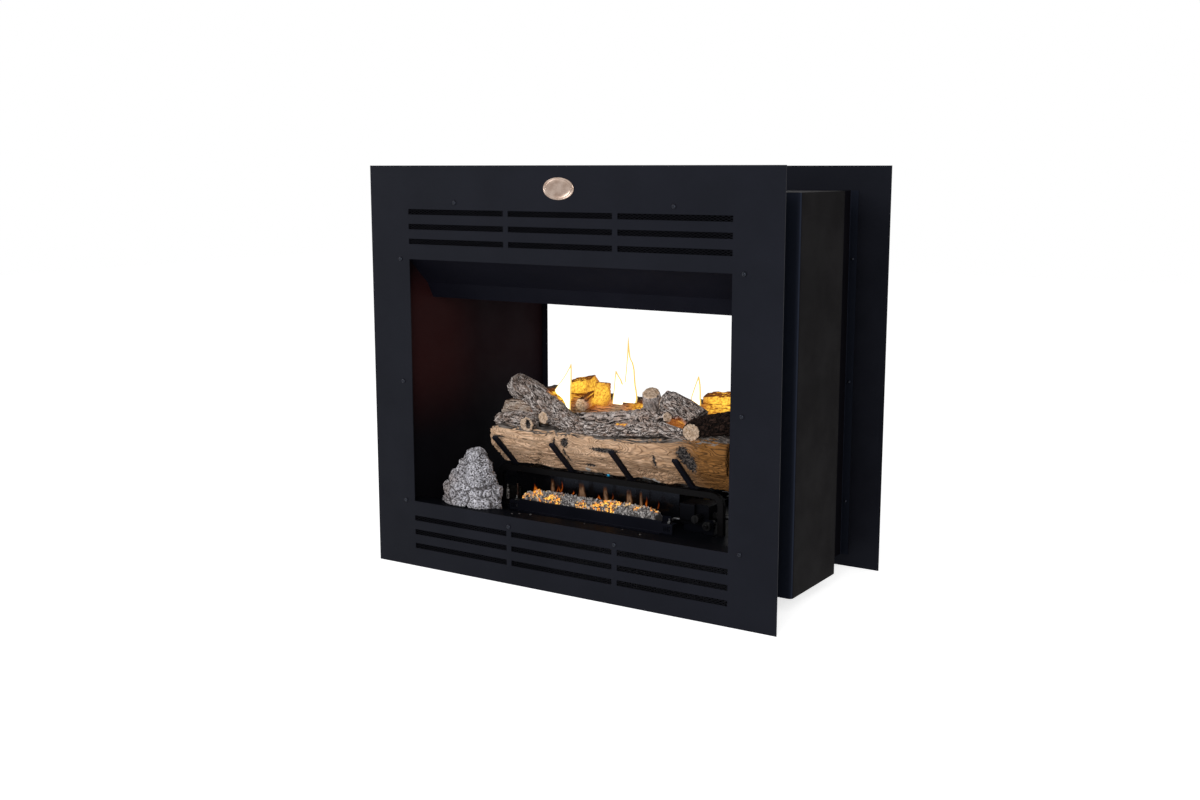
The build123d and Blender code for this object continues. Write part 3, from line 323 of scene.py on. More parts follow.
def end_tree(ends, made):
    """Turn what a tree has made into one mesh, give it its finish and send it out."""
    solid = put(ends.tree, "GeometryNodeRealizeInstances", {0: made})
    parts = {"Geometry": solid, "Material": ends["Finish"]}
    put(ends.tree, "NodeGroupOutput", {0: put(ends.tree, "GeometryNodeSetMaterial", parts)})


def baked(piece):
    """Mesh that an object's modifiers make."""
    graph = bpy.context.evaluated_depsgraph_get()
    return bpy.data.meshes.new_from_object(piece.evaluated_get(graph))


def run_tree(name, mesh, tree, sizes):
    """Plain object that holds what a tree makes of a mesh."""
    piece = add_object(name, mesh)
    modifier = piece.modifiers.new(tree.name, "NODES")
    modifier.node_group = tree
    for socket in tree.interface.items_tree:
        if socket.in_out == "INPUT" and socket.name in sizes:
            modifier[socket.identifier] = sizes[socket.name]
    made = baked(piece)
    piece.modifiers.clear()
    piece.data = made
    return piece


def plain_mesh(name, edited):
    """Mesh from an edited one, which is let go."""
    made = bpy.data.meshes.new(name)
    edited.to_mesh(made)
    edited.free()
    return made


diamond_length = 0.012
diamond_height = 0.0052
strand_width = 0.0011
strand_sheet = 0.0006


def strand_cross():
    """One crossing of the mesh: four flat arms, each half a diamond's side long."""
    mesh = bmesh.new()
    for side_x in (-1, 1):
        for side_z in (-1, 1):
            tip = Vector((side_x * diamond_length / 4, 0, side_z * diamond_height / 4))
            across = Vector((tip.z, 0, -tip.x)).normalized() * strand_width / 2
            lean = Vector((0, side_z * strand_sheet / 2, 0))
            corners = []
            for end, shift in ((Vector(), Vector()), (tip, lean)):
                for side in (-1, 1):
                    for face in (-1, 1):
                        thick = Vector((0, face * strand_sheet / 2, 0))
                        corners.append(mesh.verts.new(end + side * across + thick + shift))
            for quad in ("0132", "4675", "0451", "2376", "0264", "1573"):
                mesh.faces.new([corners[int(number)] for number in quad])
    bmesh.ops.recalc_face_normals(mesh, faces=mesh.faces)
    return plain_mesh("strand_cross", mesh)


mesh_paint = painted_steel("mesh_black_paint", (0.0070, 0.0070, 0.0090), 0.6, 0.03)
cross_object = bpy.data.objects.new("strand_cross", strand_cross())
mesh_sizes = {"Length": "Float", "Height": "Float", "Columns": "Int", "Rows": "Int"}
mesh_tree, ends = shape_tree("expanded_mesh", {**mesh_sizes, "Strand": "Object"})


def whole_sum(operation, first, second):
    """Result of an operation on two whole numbers."""
    inputs = {0: first, 1: second}
    return put(mesh_tree, "FunctionNodeIntegerMath", inputs, operation=operation)


counts = {"Vertices X": ends["Columns"], "Vertices Y": ends["Rows"]}
reach = {"Size X": ends["Length"], "Size Y": ends["Height"]}
grid = put(mesh_tree, "GeometryNodeMeshGrid", {**reach, **counts})
upright = put(mesh_tree, "GeometryNodeTransform", {"Geometry": grid, "Rotation": (pi / 2, 0, 0)})
strand = put(mesh_tree, "GeometryNodeObjectInfo", {"Object": ends["Strand"]})["Geometry"]
index = put(mesh_tree, "GeometryNodeInputIndex")
column = whole_sum("DIVIDE", index, ends["Rows"])
row = whole_sum("MODULO", index, ends["Rows"])
checker = whole_sum("MODULO", whole_sum("ADD", column, row), 2)
copies = {"Points": upright, "Selection": checker, "Instance": strand}
end_tree(ends, put(mesh_tree, "GeometryNodeInstanceOnPoints", copies))

for name in ("front_upper_mesh", "front_lower_mesh", "rear_upper_mesh", "rear_lower_mesh"):
    low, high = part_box(name)
    columns = 2 * int((high.x - low.x) / diamond_length) + 1
    rows = 2 * int((high.z - low.z) / diamond_height) + 1
    panel = run_tree(
        name.replace("mesh", "expanded_mesh"),
        bpy.data.meshes.new(name),
        mesh_tree,
        {
            "Length": (columns - 1) * diamond_length / 2,
            "Height": (rows - 1) * diamond_height / 2,
            "Columns": columns,
            "Rows": rows,
            "Strand": cross_object,
            "Finish": mesh_paint,
        },
    )
    panel.data.transform(Matrix.Translation((low + high) / 2))
    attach(panel, "root")
    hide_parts(name)


# ---- Panel screws ----
# Black button-head screws with a hexagon socket, ten in each face panel. Turned and rolled from
# steel wire, and blackened in oil.
def lathe(name, outline, sides=24):
    """Closed turned mesh on the Z axis through (radius, height) points, from axis to axis."""
    mesh = bmesh.new()
    rings = []
    for radius, height in outline:
        if radius == 0:
            rings.append([mesh.verts.new((0, 0, height))] * sides)
            continue
        turns = [2 * pi * turn / sides for turn in range(sides)]
        rings.append([mesh.verts.new((radius * cos(t), radius * sin(t), height)) for t in turns])
    for lower, upper in zip(rings, rings[1:]):
        for turn in range(sides):
            ahead = (turn + 1) % sides
            quad = dict.fromkeys((lower[turn], lower[ahead], upper[ahead], upper[turn]))
            if len(quad) > 2:
                mesh.faces.new(list(quad))
    bmesh.ops.recalc_face_normals(mesh, faces=mesh.faces)
    for face in mesh.faces:
        face.smooth = True
    return plain_mesh(name, mesh)


def merged(name):
    """Editable mesh of a CAD node, with its loose triangles joined."""
    mesh = bmesh.new()
    mesh.from_mesh(nodes[name].data)
    bmesh.ops.remove_doubles(mesh, verts=mesh.verts, dist=1e-6)
    return mesh


def solid_middles(name):
    """Middle of each loose solid of a CAD node, from left to right."""
    mesh = merged(name)
    left = set(mesh.verts)
    boxes = []
    while left:
        todo = [left.pop()]
        corners = []
        while todo:
            vert = todo.pop()
            corners.append(vert.co.copy())
            others = {edge.other_vert(vert) for edge in vert.link_edges} & left
            left -= others
            todo.extend(others)
        boxes.append([Vector([pick(axis) for axis in zip(*corners)]) for pick in (min, max)])
    mesh.free()
    return [(low + high) / 2 for low, high in sorted(boxes, key=lambda box: tuple(box[0]))]


fastener_sizes = {"Fastener": "Object", "Turn": "Rotation"}
fastener_tree, ends = shape_tree("row_of_fasteners", fastener_sizes)
fastener = put(fastener_tree, "GeometryNodeObjectInfo", {"Object": ends["Fastener"]})["Geometry"]
copies = {"Points": ends["Geometry"], "Instance": fastener, "Rotation": ends["Turn"]}
end_tree(ends, put(fastener_tree, "GeometryNodeInstanceOnPoints", copies))


def fasten(name, places, fastener, turn, material):
    """One piece that holds a fastener at each place, turned from +Z."""
    points = bpy.data.meshes.new(name)
    points.from_pydata(places, [], [])
    sizes = {"Fastener": fastener, "Turn": Euler(turn), "Finish": material}
    return run_tree(name, points, fastener_tree, sizes)


screw_head = 0.0052
screw_height = 0.0029
socket_half = 0.0017
shank_radius = 0.0023
screw_outline = (
    (0, screw_height - 0.0016),
    (socket_half, screw_height - 0.0015),
    (socket_half + 0.0002, screw_height - 0.0001),
    (0.55 * screw_head, screw_height * 0.92),
    (0.80 * screw_head, screw_height * 0.68),
    (0.95 * screw_head, screw_height * 0.32),
    (screw_head, 0.00004),
    (shank_radius, 0.00002),
    (shank_radius, -0.0085),
    (0, -0.0090),
)
screw = bpy.data.objects.new("button_screw", lathe("button_screw", screw_outline))
screw_black = painted_steel("screw_black_oxide", (0.0040, 0.0042, 0.0055), 0.25, 0.28)
for end, corner, turn in (("front", 0, pi / 2), ("rear", 1, -pi / 2)):
    node = f"{end}_fascia_screws"
    face_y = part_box(f"{end}_fascia")[corner].y
    places = [(middle.x, face_y, middle.z) for middle in solid_middles(node)]
    screws = fasten(node.replace("fascia", "panel"), places, screw, (turn, 0, 0), screw_black)
    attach(screws, "root")
    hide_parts(node)

# ---- Nameplate ----
# Bare oval plate, pressed from nickel-plated sheet with a rolled rim, and two small rivets. It is
# finely brushed, and a warm brown clouds its colour.
nickel, tree, shader, place = new_material("polished_nickel")
warm_clouding = shaded(noise(place, 48.0, low=0.3, high=0.7), (0.50, 0.40, 0.34), (0.30, 0.215, 0.17))
brushing = put(tree, "ShaderNodeMapping", {"Vector": place, "Scale": (60, 1, 2400)})
brushed = cloud(brushing, 1.0, 2.0)
fill(shader, {"Base Color": warm_clouding, "Roughness": scaled(brushed, 0.14, 0.34), "Metallic": 1.0})
emboss(shader, brushed, 0.15, 0.0001)

low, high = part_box("nameplate")
plate_half = (high.x - low.x) / 2
plate_rise = (high.z - low.z) / 2
plate_thick = high.y - low.y
plate_outline = (  # inset from the edge, share of the thickness
    (0.0, 0.0),
    (0.0, 0.45),
    (0.0007, 0.88),
    (0.0016, 1.0),
    (0.0026, 0.86),
    (0.0034, 0.58),
    (0.0060, 0.52),
    (0.0066, 0.66),
    (0.0074, 0.66),
    (0.0080, 0.54),
    (plate_half / 2, 0.66),
)
rounds = [(plate_half - inset, plate_thick * share) for inset, share in plate_outline]
plate_mesh = lathe("oval_nameplate", [(0, 0.0), *rounds, (0, plate_thick * 0.70)], sides=96)
oval = Matrix.Diagonal((1, plate_rise / plate_half, 1, 1))
plate_back = Matrix.Translation(((low.x + high.x) / 2, high.y, (low.z + high.z) / 2))
plate_mesh.transform(plate_back @ Matrix.Rotation(pi / 2, 4, "X") @ oval)
plate_mesh.materials.append(nickel)
plate = add_object("oval_nameplate", plate_mesh)
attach(plate, "root")
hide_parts("nameplate")

rivet_head = ((0, 0.0010), (0.0010, 0.00092), (0.0019, 0.0006), (0.0026, 0.0))
rivet_shank = ((0.0015, -0.0001), (0.0015, -0.0045), (0, -0.0047))
rivet_mesh = lathe("plate_rivet", rivet_head + rivet_shank, sides=20)
rivet = bpy.data.objects.new("plate_rivet", rivet_mesh)
plate_front = low.y + 0.0006
places = [(middle.x, plate_front, middle.z) for middle in solid_middles("nameplate_rivets")]
rivets = fasten("nameplate_pins", places, rivet, (pi / 2, 0, 0), nickel)
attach(rivets, "root")
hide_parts("nameplate_rivets")

# ---- Grate ----
# Two bent square bars and four flat bars bent up into fingers, welded and painted black. Ash has
# dulled the upper faces of the square bars.
grate_paint, tree, shader, place = new_material("grate_black_paint")
upward = between(facing(tree, "Z"), 0.3, 1.0, step="LINEAR")
dusted = upward * noise(place, 60.0, detail=5.0)
tone = shaded(dusted, (0.0024, 0.0022, 0.0026), (0.0065, 0.0058, 0.0060))
fill(shader, {"Base Color": tone, "Roughness": 0.5, "Specular IOR Level": 0.08})
emboss(shader, cloud(place, 260.0, 5.0), 0.6, 0.0004)
finish(grate_paint, "front_grate_rail", "rear_grate_rail")
# The fingers take a lighter, bluer copy of the rails' black paint: a painted satin highlight.
finish(painted_steel("finger_highlit_black_paint", (0.0085, 0.0088, 0.0135), 0.5, 0.07), "grate_fingers")

# ---- Ember trays, brackets and studs ----
# Folded trays in semi-gloss black, held at each end by a slotted bracket on a zinc-plated stud and
# nut.
tray_paint = painted_steel("tray_black_paint", (0.0058, 0.0062, 0.0098), 0.42, 0.05)
finish(tray_paint, "front_ember_tray", "rear_ember_tray", "tray_brackets")
# The plating is darker than bright zinc, as painted shade inside the firebox.
plated, tree, shader, place = new_material("shaded_zinc_plated_steel")
mottle = noise(place, 220.0, detail=4.0)
tone = shaded(mottle, (0.10, 0.10, 0.105), (0.30, 0.30, 0.30))
fill(shader, {"Base Color": tone, "Roughness": scaled(mottle, 0.25, 0.45), "Metallic": 1.0})
finish(plated, "tray_studs")

# ---- Ember beds ----
# Loose ceramic wool chips heaped in the trays. The gas that comes up through them makes the chips
# glow in patches, and the rest is grey and white.
chip_random = random.Random(7)
chip_halves = (0.0037, 0.002775, 0.001406)
chip_shapes = bpy.data.collections.new("ember_chip_shapes")
for number in range(5):
    mesh = bmesh.new()
    for corner in range(9):
        direction = Vector([chip_random.gauss(0, 1) for axis in range(3)]).normalized()
        mesh.verts.new([part * half for part, half in zip(direction, chip_halves)])
    hull = bmesh.ops.convex_hull(mesh, input=mesh.verts)
    buried = [item for item in hull["geom_interior"] if isinstance(item, bmesh.types.BMVert)]
    bmesh.ops.delete(mesh, geom=buried, context="VERTS")
    bmesh.ops.recalc_face_normals(mesh, faces=mesh.faces)
    chip_name = f"ember_chip_{number}"
    chip_shapes.objects.link(bpy.data.objects.new(chip_name, plain_mesh(chip_name, mesh)))


def attribute(tree, name, output="Fac"):
    """Value that the shaping left on the surface."""
    return put(tree, "ShaderNodeAttribute", attribute_name=name)[output]


def stored(geometry, name, value, domain):
    """Leave a value on the surface, for its paint."""
    inputs = {"Geometry": geometry, "Name": name, "Value": value}
    kind = "GeometryNodeStoreNamedAttribute"
    return put(geometry.tree, kind, inputs, data_type="FLOAT", domain=domain)


ember, tree, shader, place = new_material("ember_chips")
chip_tone = attribute(tree, "chip_tone")
chip_heat = attribute(tree, "chip_heat")
ash = shaded(chip_tone, (0.045, 0.041, 0.042), (0.86, 0.82, 0.80))
grey_chip = shaded(noise(place, 900.0) * 0.6, ash, (0.10, 0.09, 0.085))
hot = chip_heat * noise(place, 420.0, low=0.25, high=0.6)
fill(
    shader,
    {
        "Base Color": shaded(chip_heat, grey_chip, (0.10, 0.04, 0.015)),
        "Roughness": 0.9,
        "Emission Color": shaded(chip_tone, (1.0, 0.24, 0.006), (1.0, 0.62, 0.10)),
        "Emission Strength": hot * 1.7,
    },
)

chip_sizes = {"Chips": "Collection", "Density": "Float", "Seed": "Int", "Hot Patches": "Float"}
chips_tree, ends = shape_tree("heaped_chips", chip_sizes)


def drawn(low, high, seed):
    """Random value for each chip."""
    inputs = {2: low, 3: high, "Seed": seed}
    return put(chips_tree, "FunctionNodeRandomValue", inputs, data_type="FLOAT")[1]


up = part_of(put(chips_tree, "GeometryNodeInputNormal"), "Z")
upper_side = put(chips_tree, "FunctionNodeCompare", {0: up, 1: 0.15}, operation="GREATER_THAN")
sowing = {"Mesh": ends["Geometry"], "Selection": upper_side}
sowing |= {"Density": ends["Density"], "Seed": ends["Seed"]}
chips = {"Collection": ends["Chips"], "Separate Children": True, "Reset Children": True}
turns = {0: (0, 0, 0), 1: (2 * pi, 2 * pi, 2 * pi), "Seed": ends["Seed"]}
copies = {
    "Points": put(chips_tree, "GeometryNodeDistributePointsOnFaces", sowing),
    "Instance": put(chips_tree, "GeometryNodeCollectionInfo", chips),
    "Pick Instance": True,
    "Rotation": put(chips_tree, "FunctionNodeRandomValue", turns, data_type="FLOAT_VECTOR"),
    "Scale": drawn(0.5, 1.5, ends["Seed"]),
}
scattered = put(chips_tree, "GeometryNodeInstanceOnPoints", copies)
toned = stored(scattered, "chip_tone", drawn(0.0, 1.0, 3), "INSTANCE")
patch = cloud(put(chips_tree, "GeometryNodeInputPosition"), 33.0, 1.0) + drawn(-0.11, 0.11, 5)
heat = between(patch, ends["Hot Patches"], 0.68, step="LINEAR")
heated = stored(toned, "chip_heat", heat, "INSTANCE")
together = put(chips_tree, "GeometryNodeJoinGeometry", {0: ends["Geometry"]})
fill(together.socket.node, {0: heated})
end_tree(ends, together)


def merged_copy(name):
    """Copy of a CAD node's mesh with its loose triangles joined."""
    return plain_mesh(name + "_copy", merged(name))


chip_share = 0.95  # of the tray's length, which leaves its right-hand end bare
chip_density = 92000.0  # chips on a square metre
for end, seed in (("front", 11), ("rear", 23)):
    heap = merged_copy(f"{end}_ember_bed")
    left_end = Vector((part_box(f"{end}_ember_bed")[0].x, 0, 0))
    shorter = Matrix.Scale(chip_share, 4, (1, 0, 0))
    heap.transform(Matrix.Translation(left_end) @ shorter @ Matrix.Translation(-left_end))
    sizes = {"Chips": chip_shapes, "Density": chip_density, "Seed": seed, "Hot Patches": 0.545}
    bed = run_tree(f"{end}_ember_chips", heap, chips_tree, {**sizes, "Finish": ember})
    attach(bed, "root")
    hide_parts(f"{end}_ember_bed")

# ---- Burner ----
# Box folded from enamelled sheet on two feet, with a slotted port plate. The enamel is glossy and
# mirrors the glowing chips. An aluminium venturi feeds it through a brass orifice.
enamel = painted_steel("burner_black_enamel", (0.0022, 0.0022, 0.0030), 0.16, 0.16)
finish(enamel, "burner_pan", "burner_port_plate", "burner_feet")


def metal(name, colour, roughness):
    """Bare metal with cloudy handling marks."""
    material, _, shader, place = new_material(name)
    marks = noise(place, 180.0, detail=4.0)
    gleam = scaled(marks, roughness - 0.06, roughness + 0.12)
    tone = shaded(marks, times(0.62, colour), colour)
    fill(shader, {"Base Color": tone, "Roughness": gleam, "Metallic": 1.0})
    return material


brass = metal("machined_brass", (0.20, 0.14, 0.065), 0.36)
# The venturi's aluminium is darkened as painted shade.
finish(metal("venturi_shaded_aluminium", (0.13, 0.13, 0.135), 0.45), "venturi_tube")
finish(brass, "orifice_fitting")

# ---- Gas tubes ----
# Soft aluminium tubes to the burner, the pilot and the inlet, bent by hand, left bare and held by
# the fittings at their ends. Their metal is painted dark, as shade inside the firebox.
# The bare aluminium is darkened as painted shade.
tube_metal = metal("tube_aluminium", (0.11, 0.11, 0.115), 0.42)
for name in ("burner_supply_tube", "pilot_tube", "gas_supply_tube"):
    tube_mesh = merged_copy(name)
    tube_mesh.shade_smooth()
    tube_mesh.set_sharp_from_angle(angle=radians(50))
    tube_mesh.materials.clear()
    tube_mesh.materials.append(tube_metal)
    tube = add_object(name + "_round", tube_mesh)
    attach(tube, "root")
    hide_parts(name)

# ---- Pilot ----
# Stainless hood and bracket at the left end of the burner, blackened by the flame, with a
# copper-coloured thermocouple and a ceramic spark electrode. All are painted darker as shade too.
# Sooty metal darkened further as painted shade; the thermocouple's copper is darkened the same way.
finish(metal("sooty_shaded_stainless", (0.045, 0.042, 0.041), 0.40), "pilot_burner", "pilot_bracket")
finish(metal("thermocouple_copper", (0.075, 0.045, 0.036), 0.40), "thermocouple")
ceramic, tree, shader, place = new_material("white_ceramic")
# Soot and painted shade darken the ceramic in patches.
soot_and_shade = noise(place, 300.0, detail=4.0, high=0.55)
tone = shaded(soot_and_shade, (0.62, 0.60, 0.57), (0.05, 0.045, 0.042))
fill(shader, {"Base Color": tone, "Roughness": 0.25})
finish(ceramic, "spark_electrode")

# ---- Gas valve, knob and igniter ----
# Die-cast body and pressed cover, both painted black, on a folded bracket. A push-and-turn knob
# sits on a brass spindle, and beside it a piezo igniter with a black button.
valve_black = (0.0018, 0.0018, 0.0024)
finish(painted_steel("casting_black_paint", valve_black, 0.45, 0.06, 0.0003), "valve_body")
finish(painted_steel("cover_black_paint", valve_black, 0.30, 0.08), "valve_cover")
finish(hearth_paint, "valve_bracket", "igniter_bracket")
finish(brass, "valve_spindle", "gas_inlet_fitting")


def moulded_plastic(name, colour, roughness):
    """Moulded plastic with a fine spark-eroded grain."""
    material, tree, shader, place = new_material(name)
    worn = [part + 0.001 for part in times(1.5, colour)]
    tone = shaded(noise(place, 90.0), colour, worn)
    fill(shader, {"Base Color": tone, "Roughness": roughness, "Specular IOR Level": 0.2})
    grain = put(tree, "ShaderNodeTexVoronoi", {"Vector": place, "Scale": 2600.0})
    emboss(shader, grain, 0.3, 0.00008)
    return material


plastic_black = (0.0025, 0.0025, 0.0030)
finish(moulded_plastic("knob_black_plastic", plastic_black, 0.40), "control_knob")
finish(moulded_plastic("igniter_black_plastic", plastic_black, 0.38), "igniter_body")
finish(moulded_plastic("button_black_plastic", (0.0035, 0.0035, 0.0040), 0.22), "igniter_button")


# ---- Face logs ----
# Cast refractory logs, moulded from split wood and painted by hand: a tan face with running grain
# and burnt knots, and grey-brown bark over the top. The grain bends round each knot.
def softened(name, voxel, passes, stub=None):
    """Even, slightly rounded mesh of a CAD node, fine enough to carve.

    Stub is a side branch to grow from it, as the (x, y, z, radius) of its two ends.
    """
    mesh = merged(name)
    if stub:
        foot, tip = (Vector(end[:3]) for end in stub)
        turn = (tip - foot).to_track_quat("Z", "Y").to_matrix().to_4x4()
        bmesh.ops.create_cone(
            mesh,
            cap_ends=True,
            segments=24,
            radius1=stub[0][3],
            radius2=stub[1][3],
            depth=(tip - foot).length,
            matrix=Matrix.Translation((foot + tip) / 2) @ turn,
        )
    piece = add_object(name, plain_mesh(name, mesh))
    evened = piece.modifiers.new("evened", "REMESH")
    evened.mode = "VOXEL"
    evened.voxel_size = voxel
    rounded = piece.modifiers.new("rounded", "SMOOTH")
    rounded.iterations = passes
    made = baked(piece)
    bpy.data.objects.remove(piece)
    return made


def keep(mesh, name, kind, values):
    """Store one value, or one vector, on each vertex."""
    field = "vector" if kind == "FLOAT_VECTOR" else "value"
    data = mesh.attributes.new(name, kind, "POINT").data
    data.foreach_set(field, np.ravel(values).astype(np.float32))


cut_depth = 0.003  # how deep the marks of a saw count, and the soft edge of that
cut_edge = 0.002


def lay_grain(mesh, limbs, stretch, knots=()):
    """Give each vertex its place in the wood, for the carving and the paint to follow.

    A limb is ((x, y, z, radius), ...) and which of its ends are sawn, 0 for the first and 1 for the
    last. A knot is (x, z, half length, half height, depth) in millimetres.
    """
    spots = np.empty(3 * len(mesh.vertices))
    mesh.vertices.foreach_get("co", spots)
    spots = spots.reshape(-1, 3)
    nearest = np.full(len(spots), 1e9)
    grain = np.zeros((len(spots), 3))
    radial, sawn, pit = np.zeros((3, len(spots)))
    for stations, sawn_ends in limbs:
        run = 0.0
        last = len(stations) - 2
        for number, (start, stop) in enumerate(zip(stations, stations[1:])):
            foot, head = np.array(start[:3]), np.array(stop[:3])
            length = np.linalg.norm(head - foot)
            heading = (head - foot) / length
            along = (spots - foot) @ heading
            share = np.clip(along / length, 0, 1)
            offset = spots - foot - np.outer(share * length, heading)
            reach = np.linalg.norm(offset, axis=1)
            away = reach - start[3] - share * (stop[3] - start[3])
            own = away < nearest
            nearest[own] = away[own]
            grain[own] = offset[own]
            grain[own, 0] += stretch * (run + share[own] * length)
            radial[own] = reach[own]
            cut = np.zeros(len(spots))
            if number == 0 and 0 in sawn_ends:
                cut = np.clip((cut_depth - along) / cut_edge, 0, 1)
            if number == last and 1 in sawn_ends:
                cut = np.maximum(cut, np.clip((along - length + cut_depth) / cut_edge, 0, 1))
            sawn[own] = cut[own]
            run += length
    spot_x, spot_z = spots[:, 0], spots[:, 2]
    ragged = 0.16 * np.sin(820 * spot_x + 3 * np.sin(640 * spot_z)) + 0.12 * np.sin(1500 * spot_z)
    for knot in knots:
        x, z, half_x, half_z, depth = times(0.001, knot)
        reach = np.hypot((spot_x - x) / half_x, (spot_z - z) / half_z)
        pit = np.maximum(pit, depth * np.clip((1.3 - reach * (1 + ragged)) / 0.5, 0, 1))
        grain[:, 2] -= 0.9 * half_z * np.exp(-((reach / 1.8) ** 2)) * np.sign(spot_z - z)
    keep(mesh, "grain", "FLOAT_VECTOR", grain)
    for name, values in (("radial", radial), ("sawn", sawn), ("pit", pit)):
        keep(mesh, name, "FLOAT", values)


def on_mesh(tree, name, kind="FLOAT"):
    """Value that a mesh carries on its points."""
    return put(tree, "GeometryNodeInputNamedAttribute", {"Name": name}, data_type=kind)["Attribute"]


def from_crack(grain, fineness):
    """How far the surface lies from the nearest crack along the grain, 0 in it."""
    return abs(cloud(grain, fineness, 3.0, Roughness=0.55, Distortion=0.7) - 0.5)


def push_out(geometry, height):
    """Move each point out along its normal by height, and shade the result smooth."""
    tree = geometry.tree
    scaling = {0: put(tree, "GeometryNodeInputNormal"), "Scale": height}
    outward = put(tree, "ShaderNodeVectorMath", scaling, operation="SCALE")
    moved = put(tree, "GeometryNodeSetPosition", {"Geometry": geometry, "Offset": outward})
    return put(tree, "GeometryNodeSetShadeSmooth", {"Geometry": moved})


carving_sizes = {"Fineness": "Float", "Furrow": "Float", "Swell": "Float"}
wood_tree, ends = shape_tree("carved_wood", carving_sizes)
raised = between(
    from_crack(on_mesh(wood_tree, "grain", "FLOAT_VECTOR"), ends["Fineness"]), 0.0, 0.075
)
spot = put(wood_tree, "GeometryNodeInputPosition")
burnt = on_mesh(wood_tree, "pit") * (cloud(spot, 160.0, 4.0) + 0.6)
unsawn = 1.0 - on_mesh(wood_tree, "sawn") * 0.7
height = (raised - 0.6) * ends["Furrow"] + (cloud(spot, 24.0, 2.0) - 0.5) * ends["Swell"]
end_tree(ends, push_out(ends["Geometry"], height * unsawn - burnt))

# Heat glow and painted firelight on the wood, as (x, y, z, reach) in millimetres, and strength.
glow_and_firelight_spots = (
    (-235, 85, 362, 60, 1.0), (-188, 85, 396, 50, 1.0), (-150, 90, 395, 40, 0.8),
    (-112, 60, 380, 48, 0.85), (10, 75, 365, 70, 0.8), (45, -72, 342, 20, 0.8),
    (205, 75, 392, 80, 0.88), (-194, -105, 354, 14, 0.45), (197, -112, 358, 24, 0.60),
    (147, -75, 427, 14, 0.5), (72, -150, 360, 7, 0.7), (82, -152, 360.5, 6, 0.6),
    (91, -153, 361, 7, 0.7), (217, -72, 409, 14, 0.55), (104, 55, 331, 36, 0.30),
    (-150, -76, 394, 16, 0.5), (-126, -86, 380, 13, 0.5), (102, -80, 392, 12, 0.5),
)


def distance(place, spot):
    """How far the surface lies from a spot given in millimetres."""
    ends = {0: place, 1: times(0.001, spot)}
    return put(place.tree, "ShaderNodeVectorMath", ends, operation="DISTANCE")["Value"]


def firelight(shader, place, tone, texture):
    """Paint heat glow and firelight at spots, most where texture is 1; return the darker tone."""
    total = None
    for *spot, reach, strength in glow_and_firelight_spots:
        heat = between(distance(place, spot), 0.00115 * reach, 0.0002 * reach, top=strength)
        total = heat if total is None else total.reckon("MAXIMUM", heat)
    heat = total * texture * 1.35
    glow = shaded(heat, (0.90, 0.13, 0.004), (1.0, 0.59, 0.060))
    fill(shader, {"Emission Color": glow, "Emission Strength": heat})
    return shaded(total * 1.6, tone, (0.17, 0.075, 0.020))


def sawn_end(tree, place, tone):
    """Lay a sawn end over the tone: mottled tan wood with faint rings."""
    rings = (attribute(tree, "radial") * 260.0).reckon("PINGPONG", 0.5)
    mottle = rings * 0.5 + noise(place, 190.0, detail=4.0)
    wood = shaded(mottle, (0.46, 0.30, 0.185), (0.80, 0.61, 0.46))
    edge = attribute(tree, "sawn") + noise(place, 240.0) * 0.35
    return shaded(between(edge, 0.55, 0.95), tone, wood)


def scorch(tree, place, tone):
    """Blacken the knots, with grey ash flakes in them."""
    flakes = noise(place, 240.0, detail=4.0, low=0.42, high=0.62)
    burnt = shaded(flakes, (0.007, 0.007, 0.009), (0.135, 0.115, 0.105))
    return shaded(between(attribute(tree, "pit"), 0.0002, 0.0018), tone, burnt)


def finish_wood(shader, place, tone, texture, relief, depth):
    """Join the parts of a wood paint."""
    tone = scorch(place.tree, place, sawn_end(place.tree, place, tone))
    tone = firelight(shader, place, tone, texture)
    fill(shader, {"Base Color": tone, "Roughness": 0.9, "Specular IOR Level": 0.15})
    emboss(shader, relief, 0.8, depth)


def bark_paint(name, fineness, pale, deep, crack=(0.022, 0.017, 0.015)):
    """Hand-painted bark: pale on the plates, dark in the cracks between them."""
    material, tree, shader, place = new_material(name)
    along = attribute(tree, "grain", "Vector")
    away = from_crack(along, fineness)
    plates = noise(along, 1.9 * fineness, detail=4.0, low=0.38, high=0.62)
    tone = shaded(plates, deep, pale)
    warm = [part * share for part, share in zip(deep, (1.9, 1.55, 1.25))]
    tone = shaded(noise(place, 42.0) * 0.45, tone, warm)
    open_crack = between(away, 0.040, 0.008)
    tone = shaded(open_crack, tone, crack)
    pits = between(noise(place, 330.0, low=0.3, high=0.7), 0.34, 0.18)
    tone = shaded(pits * 0.8, tone, crack)
    # Painted shade: faces that look down are darkened to the crack colour, as shadow under the
    # limbs.
    tone = shaded(between(facing(tree, "Z"), -0.15, -0.75) * 0.8, tone, crack)
    relief = between(away, 0.0, 0.06) + plates * 0.7
    finish_wood(shader, place, tone, 1.0 - open_crack * 0.75, relief, 0.0022)
    return material


